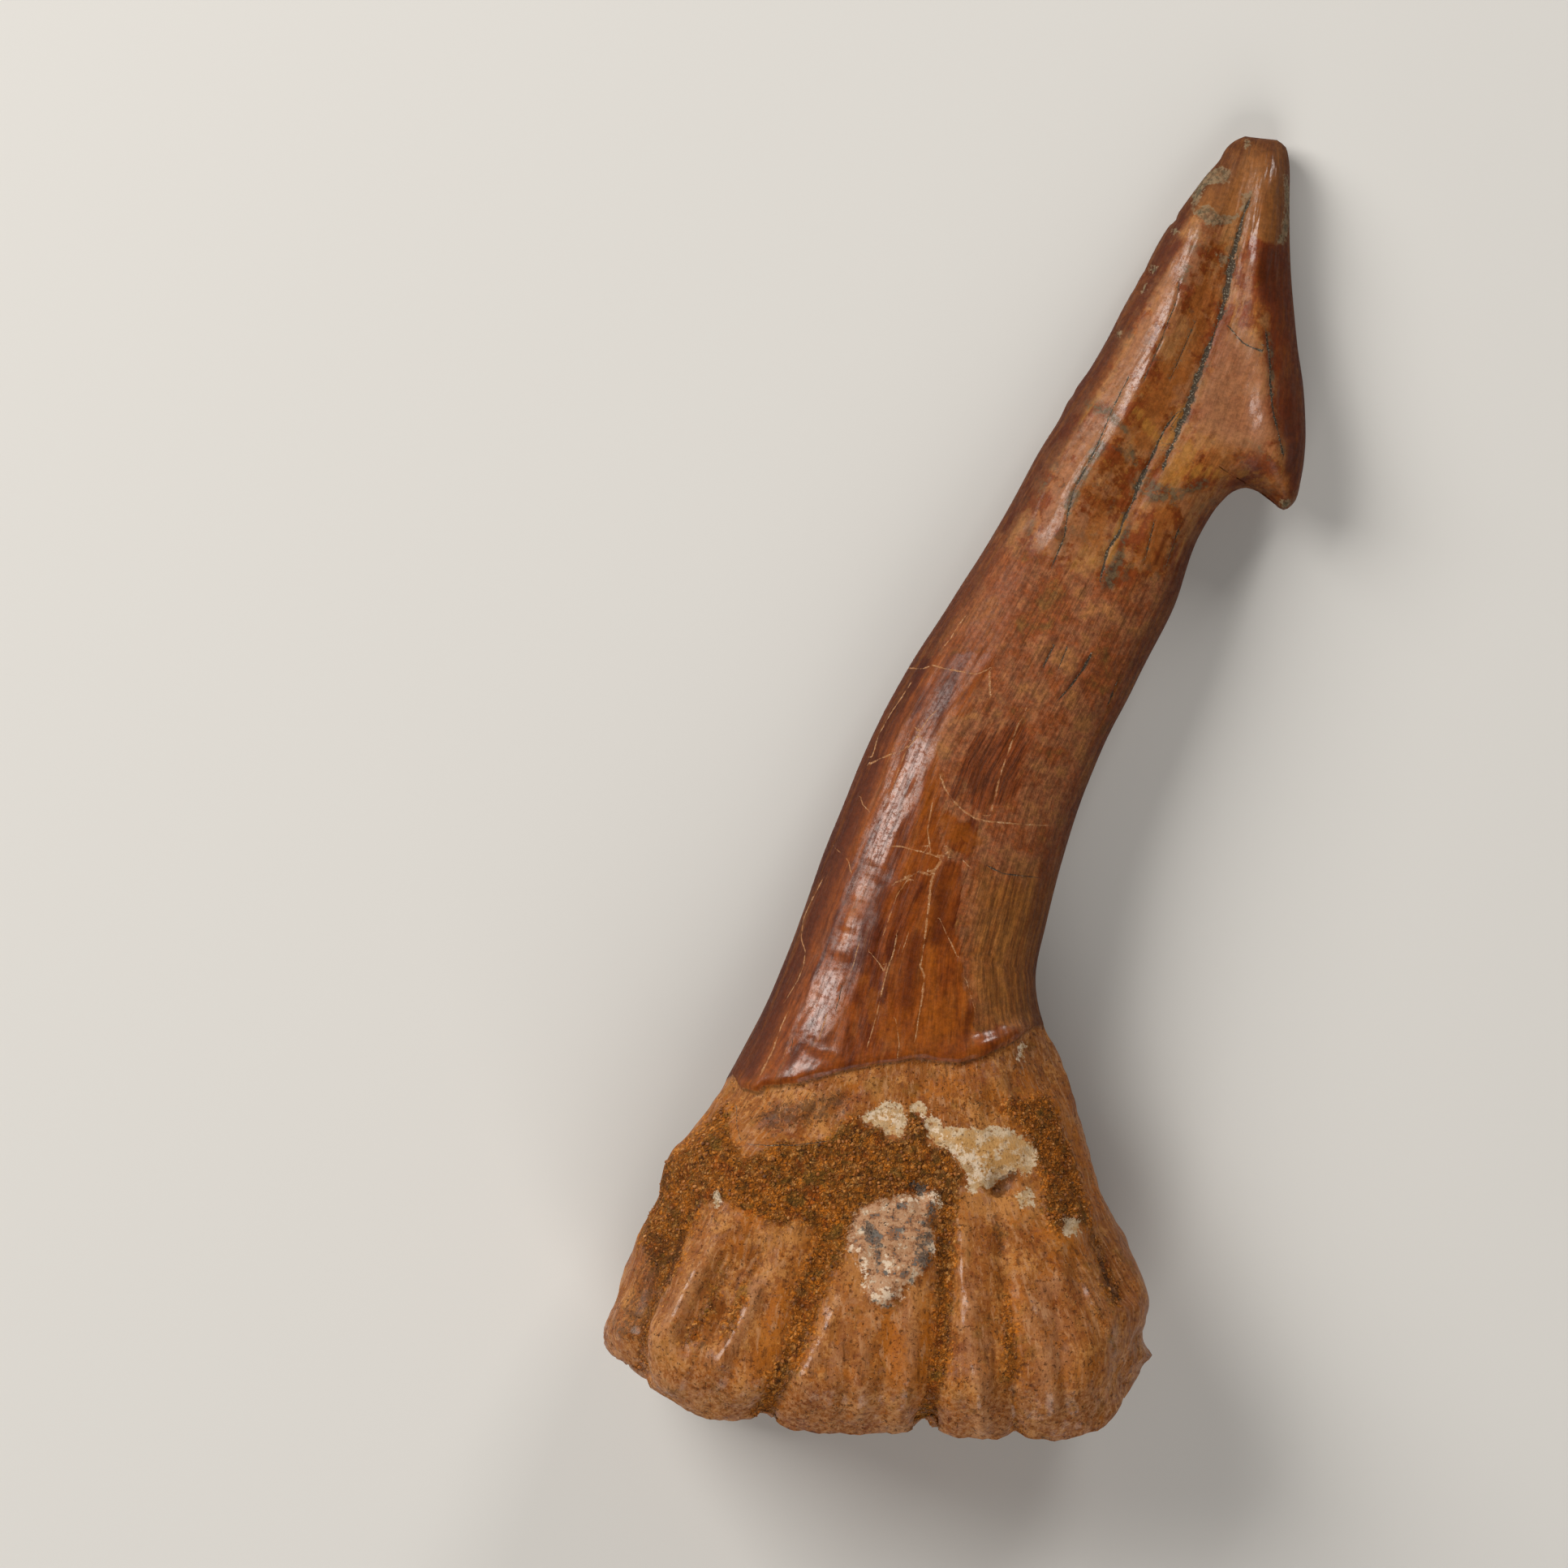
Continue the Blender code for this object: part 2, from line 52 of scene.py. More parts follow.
# The tooth's body. These are the same driving sizes as the solid's, with finer rows and columns.
toothShape = {
    # left edge (x, y) and right edge (x, y), from the root's rim to the tip
    "outline": (
        ((-19.6, -31.3), (10.8, -31.9)), ((-19.65, -30.6), (10.85, -30.7)), ((-19.1, -29.0), (11.0, -29.0)),
        ((-17.8, -25.7), (9.75, -25.7)), ((-16.5, -22.6), (8.15, -22.6)), ((-16.2, -21.2), (7.7, -21.2)),
        ((-14.0, -18.4), (7.0, -18.7)), ((-12.6, -16.3), (6.35, -16.4)), ((-11.5, -14.3), (5.75, -14.9)),
        ((-10.3, -11.9), (4.95, -13.2)), ((-9.35, -9.7), (4.6, -11.4)), ((-7.8, -5.3), (5.2, -7.7)),
        ((-6.0, -0.8), (6.2, -4.0)), ((-4.0, 3.8), (7.5, -0.1)), ((-2.8, 6.0), (8.3, 1.9)),
        ((0.0, 10.4), (10.3, 5.8)), ((2.7, 14.7), (12.35, 9.9)), ((5.1, 19.1), (14.0, 14.3)),
        ((6.1, 20.7), (15.1, 15.9)), ((6.5, 21.5), (15.8, 16.5)), ((6.8, 21.9), (16.5, 16.7)),
        ((7.0, 22.3), (17.6, 16.25)), ((7.7, 23.3), (18.65, 15.3)), ((8.0, 23.8), (19.25, 15.8)),
        ((8.3, 24.3), (19.6, 17.1)), ((8.8, 25.2), (19.8, 18.7)), ((9.6, 26.8), (19.8, 21.7)),
        ((10.8, 28.9), (19.4, 24.8)), ((12.0, 31.1), (19.1, 27.8)), ((13.25, 32.9), (18.95, 30.7)),
        ((14.4, 34.4), (18.9, 33.0)), ((15.1, 35.2), (18.9, 34.4)), ((15.5, 35.9), (18.9, 35.4)),
        ((15.95, 36.3), (18.75, 35.95)), ((16.5, 36.55), (18.3, 36.3)),
    ),
    # y, thickness, radius of the side edges, dome as a part of the thickness
    "body": (
        (-36.0, 15.4, 4.6, 0.16), (-31.0, 15.2, 4.6, 0.16), (-26.0, 13.8, 4.6, 0.18),
        (-20.0, 11.6, 4.8, 0.22), (-15.0, 9.8, 4.6, 0.25), (-8.0, 8.6, 4.4, 0.28), (2.0, 7.7, 4.2, 0.28),
        (12.0, 6.9, 3.6, 0.26), (18.0, 6.2, 3.0, 0.22), (24.0, 5.2, 2.4, 0.18), (30.0, 3.8, 1.9, 0.16),
        (34.0, 2.7, 1.5, 0.14), (36.5, 1.9, 1.1, 0.12),
    ),
    # points of the long axis, and how far the body reaches to each side of it there
    "axis": (
        ((-4.5, -42.0), 15.0), ((-4.4, -31.0), 15.0), ((-4.2, -22.0), 12.2), ((-3.3, -15.5), 9.0),
        ((-2.3, -9.0), 7.2), ((1.2, 1.0), 6.5), ((5.2, 8.2), 6.4), ((9.3, 16.2), 6.2), ((12.2, 20.8), 6.0),
        ((14.9, 27.0), 4.8), ((16.4, 32.4), 3.2), ((17.7, 38.0), 1.8),
    ),
    "rimBow": 4.65, "rimSkew": 0.08, "rimCornerPowers": (4.6, 9.0), "bowFadesOver": 13.0,
    "lipThickness": 0.68, "lipReach": 2.6,
    "notchStation": 20, "barbStations": (21, 22, 29), "barbRootShare": 0.9,
    "barbArch": 0.32, "barbArchPlace": 0.905, "barbArchWidth": 0.1,
    "edgeBluntness": 0.05, "edgePlaces": 260, "edgeRunOn": 8.0,
    # rings that go into the root's end: depth, part of the lip's height and width, part of the relief
    "trough": (
        (0.0, 1.0, 1.0, 1.0), (0.4, 0.66, 0.975, 0.5), (1.7, 0.46, 0.945, 0.2), (2.6, 0.2, 0.915, 0.0),
    ),
    "troughRings": 14, "troughSink": 0.1,
    "midHeightAtRoot": 7.5, "midSlope": -0.0905, "wornFlat": 0.12,
    "columns": 276, "columnEvenness": 0.45, "rowSamples": 2000, "quickCoarser": 2.0,
    # distance from the rim and the spacing of the rows there
    "rowSpacing": ((0.0, 0.17), (17.0, 0.19), (24.0, 0.25), (90.0, 0.25)),
    # slits in the root's rim: x, half width and depth
    "rimSlits": ((-10.8, 0.32, 0.5), (-1.65, 0.2, 0.75), (3.4, 0.16, 0.25)),
    "slitFadesOver": 1.6,
}

# Low relief on the body: paths, half width and height
toothRelief = {
    "crownLines": (
        (((16.2, 31.7), (15.0, 26.4), (13.1, 21.3), (10.7, 17.3), (9.7, 15.3)), 1.1, -0.36),
        (((14.9, 33.3), (13.3, 29.3), (12.0, 25.7), (10.4, 22.0), (8.3, 18.0), (6.6, 14.6)), 1.0, 0.36),
        (((17.7, 35.4), (17.0, 32.0), (16.8, 28.5), (17.0, 24.8), (17.5, 21.2), (18.0, 18.4)), 0.7, 0.42),
        (((15.9, 24.0), (15.8, 20.8)), 1.4, -0.3),
    ),
    "topFlutes": (
        (((-6.9, -24.0), (-8.3, -28.3), (-8.9, -31.0), (-10.9, -36.0)), 0.9, -0.7),
        (((-0.5, -23.0), (-0.5, -28.3), (-0.8, -31.4), (-1.7, -36.6)), 0.75, -0.75),
        (((2.9, -25.7), (2.9, -30.3), (3.4, -36.4)), 0.6, -0.4),
        (((-12.3, -25.7), (-12.8, -27.0), (-15.2, -31.0)), 0.6, -0.42),
        (((-10.5, -25.2), (-11.1, -26.5), (-13.2, -30.3)), 0.6, -0.38),
        (((-15.1, -23.8), (-15.8, -25.5), (-17.5, -29.7), (-17.9, -32.9)), 0.8, -0.55),
        (((7.7, -24.3), (8.4, -25.7), (9.5, -28.3)), 0.7, -0.55),
        (((6.6, -26.1), (7.4, -27.8), (8.8, -31.0), (9.9, -33.6)), 0.6, -0.38),
    ),
    "topRibs": (
        (((-13.5, -25.4), (-14.8, -28.0), (-16.2, -30.8)), 0.55, 0.22),
        (((-10.4, -26.6), (-11.7, -29.4), (-13.2, -32.2)), 0.55, 0.22),
        (((-6.3, -28.2), (-7.4, -30.6), (-8.8, -33.2)), 0.55, 0.18),
        (((0.9, -27.6), (1.0, -31.0), (1.5, -35.6)), 0.5, 0.24),
        (((4.2, -28.6), (4.9, -31.4), (5.4, -34.6)), 0.55, 0.16),
        (((7.1, -26.8), (8.1, -29.2), (9.0, -31.4)), 0.6, 0.26),
    ),
    "underFlutes": (
        (((-12.6, -23.5), (-13.9, -28.0), (-15.6, -33.5)), 0.8, -0.8),
        (((-8.0, -24.4), (-8.8, -29.5), (-9.6, -35.8)), 0.7, -0.7),
        (((-3.6, -23.0), (-3.9, -29.0), (-4.3, -36.6)), 0.8, -0.95),
        (((0.8, -25.0), (1.2, -30.0), (1.6, -36.6)), 0.6, -0.5),
        (((4.6, -23.8), (5.6, -29.0), (6.6, -36.2)), 0.75, -0.8),
    ),
    # crests of the ribs and fine ribs between the flutes, on the upper face
    "fineRibs": (
        (((-13.6, -25.7), (-14.8, -28.0), (-16.0, -30.4)), 0.36, 0.1),
        (((-10.5, -26.9), (-11.7, -29.4), (-13.0, -31.9)), 0.36, 0.1),
        (((-6.4, -28.5), (-7.5, -30.6), (-8.7, -32.9)), 0.4, 0.08),
        (((0.9, -27.9), (1.0, -31.0), (1.4, -35.6)), 0.3, 0.12),
        (((4.2, -29.0), (4.8, -31.0), (5.2, -32.6)), 0.35, 0.09),
        (((7.1, -27.0), (7.9, -28.8), (8.6, -30.4)), 0.35, 0.1),
        (((2.0, -28.0), (2.1, -31.5), (2.5, -35.2)), 0.2, -0.14), (((1.7, -30.6), (1.9, -33.6)), 0.18, 0.1),
        (((5.3, -27.0), (5.8, -30.5), (6.2, -34.8)), 0.28, -0.18),
        (((6.3, -28.2), (6.9, -31.4), (7.6, -34.4)), 0.25, 0.12),
        (((-3.6, -28.6), (-3.7, -31.5), (-4.3, -35.0)), 0.3, -0.15),
        (((-5.6, -28.4), (-6.2, -31.0), (-7.0, -34.5)), 0.3, 0.1),
        (((-12.2, -31.5), (-12.6, -33.4)), 0.3, -0.14), (((-14.0, -31.6), (-14.6, -33.0)), 0.3, -0.14),
        (((-9.2, -32.6), (-9.5, -34.6)), 0.25, -0.12), (((-6.0, -33.4), (-6.3, -35.4)), 0.3, -0.14),
        (((-2.6, -33.0), (-2.8, -35.6)), 0.22, 0.12), (((3.6, -33.6), (3.9, -35.8)), 0.22, 0.12),
        (((7.6, -32.6), (8.4, -34.6)), 0.25, -0.12), (((-0.5, -24.4), (-0.6, -28.0)), 0.35, -0.12),
        (((0.3, -23.6), (0.4, -26.0), (0.3, -30.0)), 0.25, 0.2), (((2.3, -23.6), (2.6, -26.2)), 0.4, -0.26),
        (((-11.2, -24.6), (-11.9, -26.6), (-12.8, -28.6)), 0.3, -0.16),
        (((8.9, -26.0), (10.0, -28.6)), 0.2, -0.12),
        (((-15.9, -26.8), (-16.9, -29.6), (-17.2, -31.8), (-16.4, -33.2), (-14.4, -34.4)), 0.45, 0.22),
        (((-16.7, -26.2), (-17.9, -30.0), (-18.1, -31.9), (-17.3, -33.4)), 0.3, -0.16),
        (((-4.9, -27.0), (-5.0, -30.5), (-5.4, -34.6)), 0.5, 0.12),
        (((-2.4, -27.6), (-2.5, -31.5), (-3.2, -35.6)), 0.4, 0.12),
        (((18.3, 35.6), (18.0, 33.6), (17.7, 31.6), (17.2, 29.4)), 0.8, 0.32),
        (((15.0, 32.6), (14.4, 30.9), (13.75, 28.7), (12.4, 26.4), (11.55, 24.3), (9.95, 21.2), (8.6, 18.6),
          (6.3, 16.2), (5.6, 13.8)), 0.65, 0.12),
        (((0.6, -14.75), (2.0, -14.4), (3.6, -13.75)), 0.45, 0.2),
        (((-10.4, -16.1), (-8.6, -15.9), (-7.0, -15.5)), 0.6, 0.1),
    ),
    # lumps and pits on the upper face: place, radius, height
    "topSpots": (
        ((-8.0, -21.3), 4.2, -0.35), ((0.8, -20.6), 1.6, 0.28), ((-3.4, -25.4), 1.9, 0.3),
        ((2.7, -22.2), 0.7, -0.55), ((-2.0, -22.2), 0.7, -0.4), ((1.6, -16.6), 1.6, 0.22),
        ((-8.8, -24.5), 0.6, 0.28), ((6.1, -24.9), 0.9, 0.22), ((2.5, -16.5), 0.6, 0.2),
        ((-13.3, -23.1), 0.35, -0.2), ((-4.2, -28.2), 0.7, 0.22), ((1.2, -12.4), 0.5, 0.16),
        ((2.2, -22.4), 0.4, -0.2), ((-5.4, -27.0), 0.5, 0.16),
        ((-10.4, -25.0), 0.5, 0.2), ((8.4, -30.6), 1.0, 0.15),
    ),
    "underSpots": (((-11.2, -29.6), 1.7, 0.62), ((3.6, -30.2), 1.7, 0.62)),
    # chips on the outline, on both faces
    "edgeSpots": (
        ((10.9, -32.0), 0.35, 0.4), ((10.7, -30.9), 0.5, -0.25), ((-17.0, -22.9), 0.5, -0.2),
        ((12.4, 31.9), 0.3, -0.14), ((11.2, 28.8), 0.35, -0.14), ((10.6, 27.8), 0.3, -0.12),
    ),
    "enamelEdgeTop": (
        (-12.4, -16.2), (-12.1, -16.8), (-11.1, -17.1), (-10.7, -16.7), (-9.0, -16.6), (-7.3, -16.2),
        (-5.7, -15.8), (-3.9, -15.5), (-2.2, -15.2), (-0.7, -15.4), (0.2, -15.5), (1.4, -15.2),
        (2.3, -14.8), (3.0, -14.5), (3.5, -14.2), (4.4, -13.5),
    ),
    "rim": (
        (-19.6, -31.3), (-17.5, -33.2), (-14.0, -34.8), (-8.0, -36.0), (0.0, -36.5), (6.0, -36.4),
        (9.0, -35.0), (10.8, -31.9),
    ),
    "enamelEdgeUnder": ((-12.4, -16.8), (-7.1, -15.4), (-2.0, -14.4), (1.8, -14.3), (4.4, -13.5)),
    "enamelStep": 0.3, "enamelStepWidth": 0.24, "enamelRoll": 0.05,
    # shallow dips across the glossy side of the crown: place, length across, width along, depth
    "crownDips": (
        ((-2.0, 2.3), 1.5, 0.34, -0.1), ((-4.4, -4.9), 1.3, 0.4, -0.14), ((-5.4, -6.9), 1.4, 0.5, -0.12),
        ((-6.4, -10.0), 1.3, 0.45, -0.14), ((-5.9, -8.5), 1.0, 0.35, -0.08),
        ((-7.9, -14.5), 1.5, 0.36, -0.14),
    ),
    "dipTilt": (0.93, 0.37),
    "rootRoughness": 0.22, "crownRoughness": 0.07,
    "sandHeight": 0.13, "sandLumps": 0.18, "mottleHeight": 0.12, "mottleLumps": 0.216,
    "creamDepth": -0.03, "creamRoughness": 0.05,
    "dentineLumps": 0.13, "dentineGrain": 0.04, "boneStreaks": 0.08, "boneDrawnOut": 0.25,
    "crownGrain": 0.045, "crownDrawnOut": 0.3, "veinDepth": -0.09, "rimCrumbs": 0.1,
    # where each part starts and is full, in mm past its border
    "sandEdge": (-0.15, 0.3), "mottleEdge": (-0.05, 0.25), "creamEdge": (-0.1, 0.2),
    "inwardEdge": (-0.4, 1.4), "grainEdge": (0.0, 0.6),
    "enamelRollPlace": 0.5, "enamelRollWidth": 0.6,
    "lineStart": (-0.3, 0.7),  # a line swells in over its first points
    # rows of amount, size in mm and seed, added up
    "noise": {
        "lumps": ((1.0, 4.0, 0.0),),
        "enamelFray": ((0.06, 0.6, 3.0),),
        "sandLumps": ((1.0, 0.8, 5.0), (0.5, 0.35, 6.0)),
        "sandFray": ((0.5, 0.6, 7.0),),
        "mottleLumps": ((1.0, 0.8, 11.0), (0.4, 0.3, 12.0)),
        "creamLumps": ((1.0, 0.4, 15.0),),
        "dentineLumps": ((1.0, 1.3, 17.0),),
        "dentineGrain": ((1.0, 0.5, 19.0),),
        "crownGrain": ((1.0, 0.5, 23.0), (0.5, 0.5 / 2.2, 24.0)),
        "boneStreaks": ((1.0, 0.5, 25.0),),
        "rimCrumbs": ((1.0, 0.55, 26.0), (0.6, 0.28, 27.0)),
    },
}

# Coloured zones of the upper face, as outlines
zones = {
    "sand": (
        ((-16.6, -21.4), (-14.8, -19.7), (-13.4, -18.0), (-12.8, -17.6), (-12.4, -19.7), (-11.9, -20.7),
         (-11.0, -20.2), (-9.9, -19.6), (-8.9, -19.8), (-7.1, -19.6), (-6.4, -18.7), (-5.5, -18.4),
         (-4.8, -18.9), (-4.0, -19.1), (-3.8, -19.6), (-2.9, -19.7), (-2.7, -18.1), (-2.4, -18.0),
         (-1.5, -19.1), (-1.5, -19.9), (-0.4, -20.2), (0.4, -21.6), (0.2, -22.9), (0.0, -27.0),
         (-0.3, -31.6), (-1.2, -35.8), (-1.9, -36.6), (-1.3, -30.7), (-1.2, -26.1), (-1.0, -23.8),
         (-1.6, -22.6), (-5.2, -23.5), (-6.1, -26.1), (-6.6, -27.0), (-8.2, -31.1), (-10.2, -35.1),
         (-11.4, -35.9), (-10.5, -32.9), (-9.4, -30.7), (-9.1, -27.9), (-8.0, -25.7), (-7.9, -24.9),
         (-8.8, -24.2), (-9.8, -24.7), (-12.0, -23.6), (-13.0, -23.1), (-14.2, -23.5), (-15.0, -24.8),
         (-15.3, -27.0), (-16.5, -28.8), (-17.1, -27.0), (-17.5, -25.7)),
        ((3.0, -17.2), (4.2, -17.6), (5.2, -17.0), (6.8, -20.7), (7.5, -23.4), (8.1, -24.8),
         (6.5, -24.4), (5.5, -25.2), (5.0, -24.3), (4.9, -22.6), (4.6, -20.7), (4.0, -19.6),
         (3.2, -18.8), (2.4, -18.2)),
        ((2.8, -28.4), (3.2, -28.8), (3.5, -31.1), (3.4, -33.4), (2.8, -33.3), (2.5, -31.1)),
        ((-11.9, -27.9), (-11.5, -28.4), (-12.4, -30.7), (-13.1, -30.7), (-12.5, -29.1)),
        ((-13.5, -27.9), (-13.1, -28.5), (-14.6, -31.1), (-15.4, -31.1), (-14.3, -29.3)),
        ((8.1, -25.7), (8.6, -26.8), (9.5, -28.8), (9.1, -29.1), (8.3, -27.5)),
    ),
    "cream": (
        ((-5.3, -18.4), (-4.7, -18.1), (-3.5, -17.7), (-2.9, -17.9), (-2.7, -18.7), (-2.9, -19.6),
         (-3.3, -19.7), (-3.8, -19.6), (-4.0, -19.1), (-4.8, -18.9)),
        ((-2.6, -18.1), (-2.4, -17.7), (-1.9, -17.6), (-1.3, -18.5), (-0.7, -19.0), (0.4, -19.2),
         (1.6, -19.1), (2.8, -19.2), (4.0, -19.6), (4.5, -20.2), (4.6, -21.2), (4.2, -21.7),
         (3.4, -21.5), (2.9, -21.6), (2.3, -22.1), (1.6, -22.4), (0.8, -22.5), (0.5, -21.7),
         (0.1, -20.8), (-0.4, -20.2), (-1.1, -20.3), (-1.5, -19.9), (-1.5, -19.1), (-1.9, -18.4)),
        ((-13.6, -23.0), (-13.2, -22.8), (-13.0, -23.2), (-13.4, -23.4)),
        ((3.9, -14.5), (4.2, -14.6), (3.9, -15.5), (3.6, -15.4)),
        ((-4.7, -28.1), (-4.1, -27.9), (-3.6, -28.3), (-4.1, -28.8), (-4.7, -28.6)),
        ((-1.4, -22.7), (-0.8, -22.7), (-0.8, -23.5), (-1.2, -23.4)),
        ((5.7, -24.4), (6.5, -24.2), (7.1, -24.4), (7.0, -24.9), (6.2, -25.1)),
        ((3.4, -22.6), (4.3, -22.4), (4.4, -23.3), (3.5, -23.5)),
    ),
    "paleRib": (
        ((0.3, -22.4), (2.2, -22.6), (3.6, -22.2), (4.7, -22.0), (4.9, -23.8), (3.9, -24.6),
         (3.1, -23.9), (1.2, -23.8), (0.5, -24.4)),
        ((0.2, -22.9), (1.0, -22.8), (0.8, -24.3), (1.0, -26.6), (0.4, -27.0), (0.1, -25.2)),
        ((-9.8, -24.7), (-8.9, -23.9), (-8.1, -24.9), (-8.4, -25.8), (-9.3, -25.4), (-10.6, -26.0),
         (-10.9, -25.1)),
        ((5.5, -24.6), (7.0, -24.3), (7.6, -25.2), (6.4, -26.0), (5.0, -25.4)),
        ((-6.0, -26.0), (-5.3, -25.6), (-5.0, -27.4), (-5.4, -28.4), (-6.2, -27.6)),
        ((-2.6, -28.0), (-1.5, -27.3), (-1.3, -29.0), (-1.8, -29.6)),
        ((-4.6, -16.4), (-3.9, -16.6), (-4.0, -17.9), (-4.5, -17.6)),
        ((-12.9, -19.4), (-12.2, -19.4), (-11.9, -20.6), (-12.6, -20.4)),
        ((1.6, -16.2), (2.9, -16.6), (3.1, -17.4), (2.0, -17.0)),
        ((-16.9, -31.0), (-15.6, -30.6), (-15.0, -32.4), (-16.2, -32.6)),
    ),
    "mottle": (
        ((-5.7, -23.9), (-4.9, -23.3), (-3.8, -23.0), (-2.5, -22.8), (-1.4, -22.6), (-0.9, -22.8),
         (-0.8, -23.3), (-1.5, -23.7), (-1.3, -24.5), (-1.2, -25.5), (-1.5, -26.6), (-2.2, -27.4),
         (-3.0, -28.0), (-3.2, -28.6), (-4.1, -28.9), (-4.8, -28.5), (-4.9, -27.3), (-5.6, -26.1),
         (-6.1, -25.4)),
    ),
    "gloss": (
        ((-14.4, -17.2), (-11.8, -12.0), (-9.0, -6.5), (-6.7, 1.2), (-4.1, 6.5), (-1.8, 7.3), (2.3, 7.3),
         (2.0, 6.2), (1.4, 5.3), (0.9, 4.1), (-0.2, 3.4), (-0.8, 2.2), (-0.9, 0.5), (-0.7, -0.6),
         (-0.9, -2.3), (-0.7, -3.8), (0.5, -4.7), (0.5, -6.3), (0.2, -7.5), (0.2, -9.3), (0.6, -11.3),
         (0.9, -12.6), (0.9, -14.1), (1.1, -15.4), (-3.4, -16.6), (-8.4, -17.5), (-11.1, -17.9)),
        ((-0.5, -1.4), (0.2, -1.8), (1.4, -2.2), (1.4, -3.5), (0.7, -4.2), (-0.3, -3.8), (-0.7, -2.5)),
        ((1.0, -13.9), (3.0, -13.6), (3.6, -14.2), (1.4, -15.4), (0.6, -15.5)),
    ),
    "island": (
        ((1.1, 2.5), (1.8, 3.2), (2.8, 3.4), (3.6, 3.1), (4.2, 2.8), (4.2, 1.6), (3.9, 0.5), (3.2, -0.6),
         (1.9, -1.5), (0.9, -1.3), (0.2, -1.0), (0.4, 0.3), (0.8, 1.6)),
        ((-1.0, -4.2), (0.8, -5.0), (0.5, -6.0), (-0.4, -6.9), (-1.1, -7.1), (-1.2, -5.4)),
        ((-2.6, -5.4), (-1.7, -5.2), (-1.7, -7.4), (-2.1, -8.6), (-2.8, -7.6)),
    ),
    "polished": (
        ((-2.6, 6.9), (-0.8, 10.4), (1.4, 13.6), (2.3, 13.6), (4.0, 12.1), (3.1, 10.1), (3.0, 7.9),
         (2.3, 7.0)),
    ),
    "fibrous": (
        ((1.5, -5.2), (7.0, -5.2), (7.0, -8.0), (6.0, -13.0), (4.4, -13.5), (2.4, -14.5), (1.2, -14.6),
         (0.9, -12.0), (0.6, -8.0)),
    ),
    "head": (
        ((-1.0, 12.6), (2.0, 13.6), (3.1, 14.1), (4.0, 13.3), (4.6, 12.8), (5.7, 12.1), (7.1, 12.1),
         (8.1, 11.3), (9.1, 10.9), (10.3, 11.8), (11.5, 11.6), (12.6, 10.6), (14.5, 11.1), (22.0, 14.4),
         (23.0, 39.4), (14.8, 41.4), (1.0, 25.8)),
    ),
    "facet": (
        ((15.1, 25.5), (15.9, 26.0), (17.0, 24.7), (17.3, 23.9), (17.5, 22.6), (17.6, 21.0),
         (18.0, 19.4), (17.1, 18.5), (15.2, 19.0), (13.7, 20.3), (13.8, 21.7), (14.3, 23.5)),
    ),
    "redSide": (
        ((17.2, 30.3), (20.0, 30.3), (20.3, 24.8), (20.8, 21.2), (20.9, 18.5), (19.9, 16.9),
         (18.5, 17.4), (18.2, 18.5), (17.9, 21.2), (17.6, 23.9), (17.5, 26.7), (17.1, 28.5)),
    ),
    "tip": (
        ((12.5, 34.9), (12.0, 31.6), (13.4, 32.0), (14.8, 32.0), (15.5, 31.5), (16.2, 31.8),
         (16.5, 30.8), (17.3, 30.4), (20.0, 30.3), (20.3, 38.1), (14.8, 39.6)),
    ),
    "beige": (
        ((14.4, 34.5), (15.1, 34.8), (15.7, 34.4), (15.6, 33.9), (15.1, 33.7), (14.7, 33.8),
         (14.3, 33.6), (14.0, 33.1), (13.8, 32.5), (13.6, 32.2), (13.5, 33.1), (13.9, 33.9)),
        ((13.6, 32.1), (14.4, 32.5), (14.9, 32.0), (15.7, 31.9), (16.1, 32.1), (15.6, 31.5),
         (14.9, 31.3), (14.2, 31.5)),
        ((16.1, 33.4), (16.4, 33.1), (16.9, 33.4), (16.7, 32.9), (16.4, 32.2), (16.2, 32.2), (16.3, 32.8)),
        ((18.45, 34.3), (18.7, 34.3), (18.9, 32.6), (18.85, 31.2), (18.5, 30.4), (18.0, 30.5),
         (18.3, 31.0), (18.55, 32.2)),
        ((14.8, 29.8), (15.3, 29.9), (15.5, 29.4), (15.1, 29.1)),
        ((12.4, 31.3), (12.7, 31.2), (12.8, 30.9), (12.5, 30.9)),
        ((11.2, 29.2), (11.5, 29.0), (11.4, 28.7), (11.1, 28.8)),
        ((10.7, 28.0), (10.9, 28.1), (10.9, 27.7), (10.6, 27.7)),
        ((9.3, 25.5), (9.5, 25.4), (9.4, 25.1), (9.2, 25.2)),
        ((18.3, 15.9), (18.9, 16.0), (19.0, 15.6), (18.7, 15.3)),
        ((16.5, 36.4), (16.7, 36.3), (16.8, 35.9), (16.5, 35.8)),
    ),
}

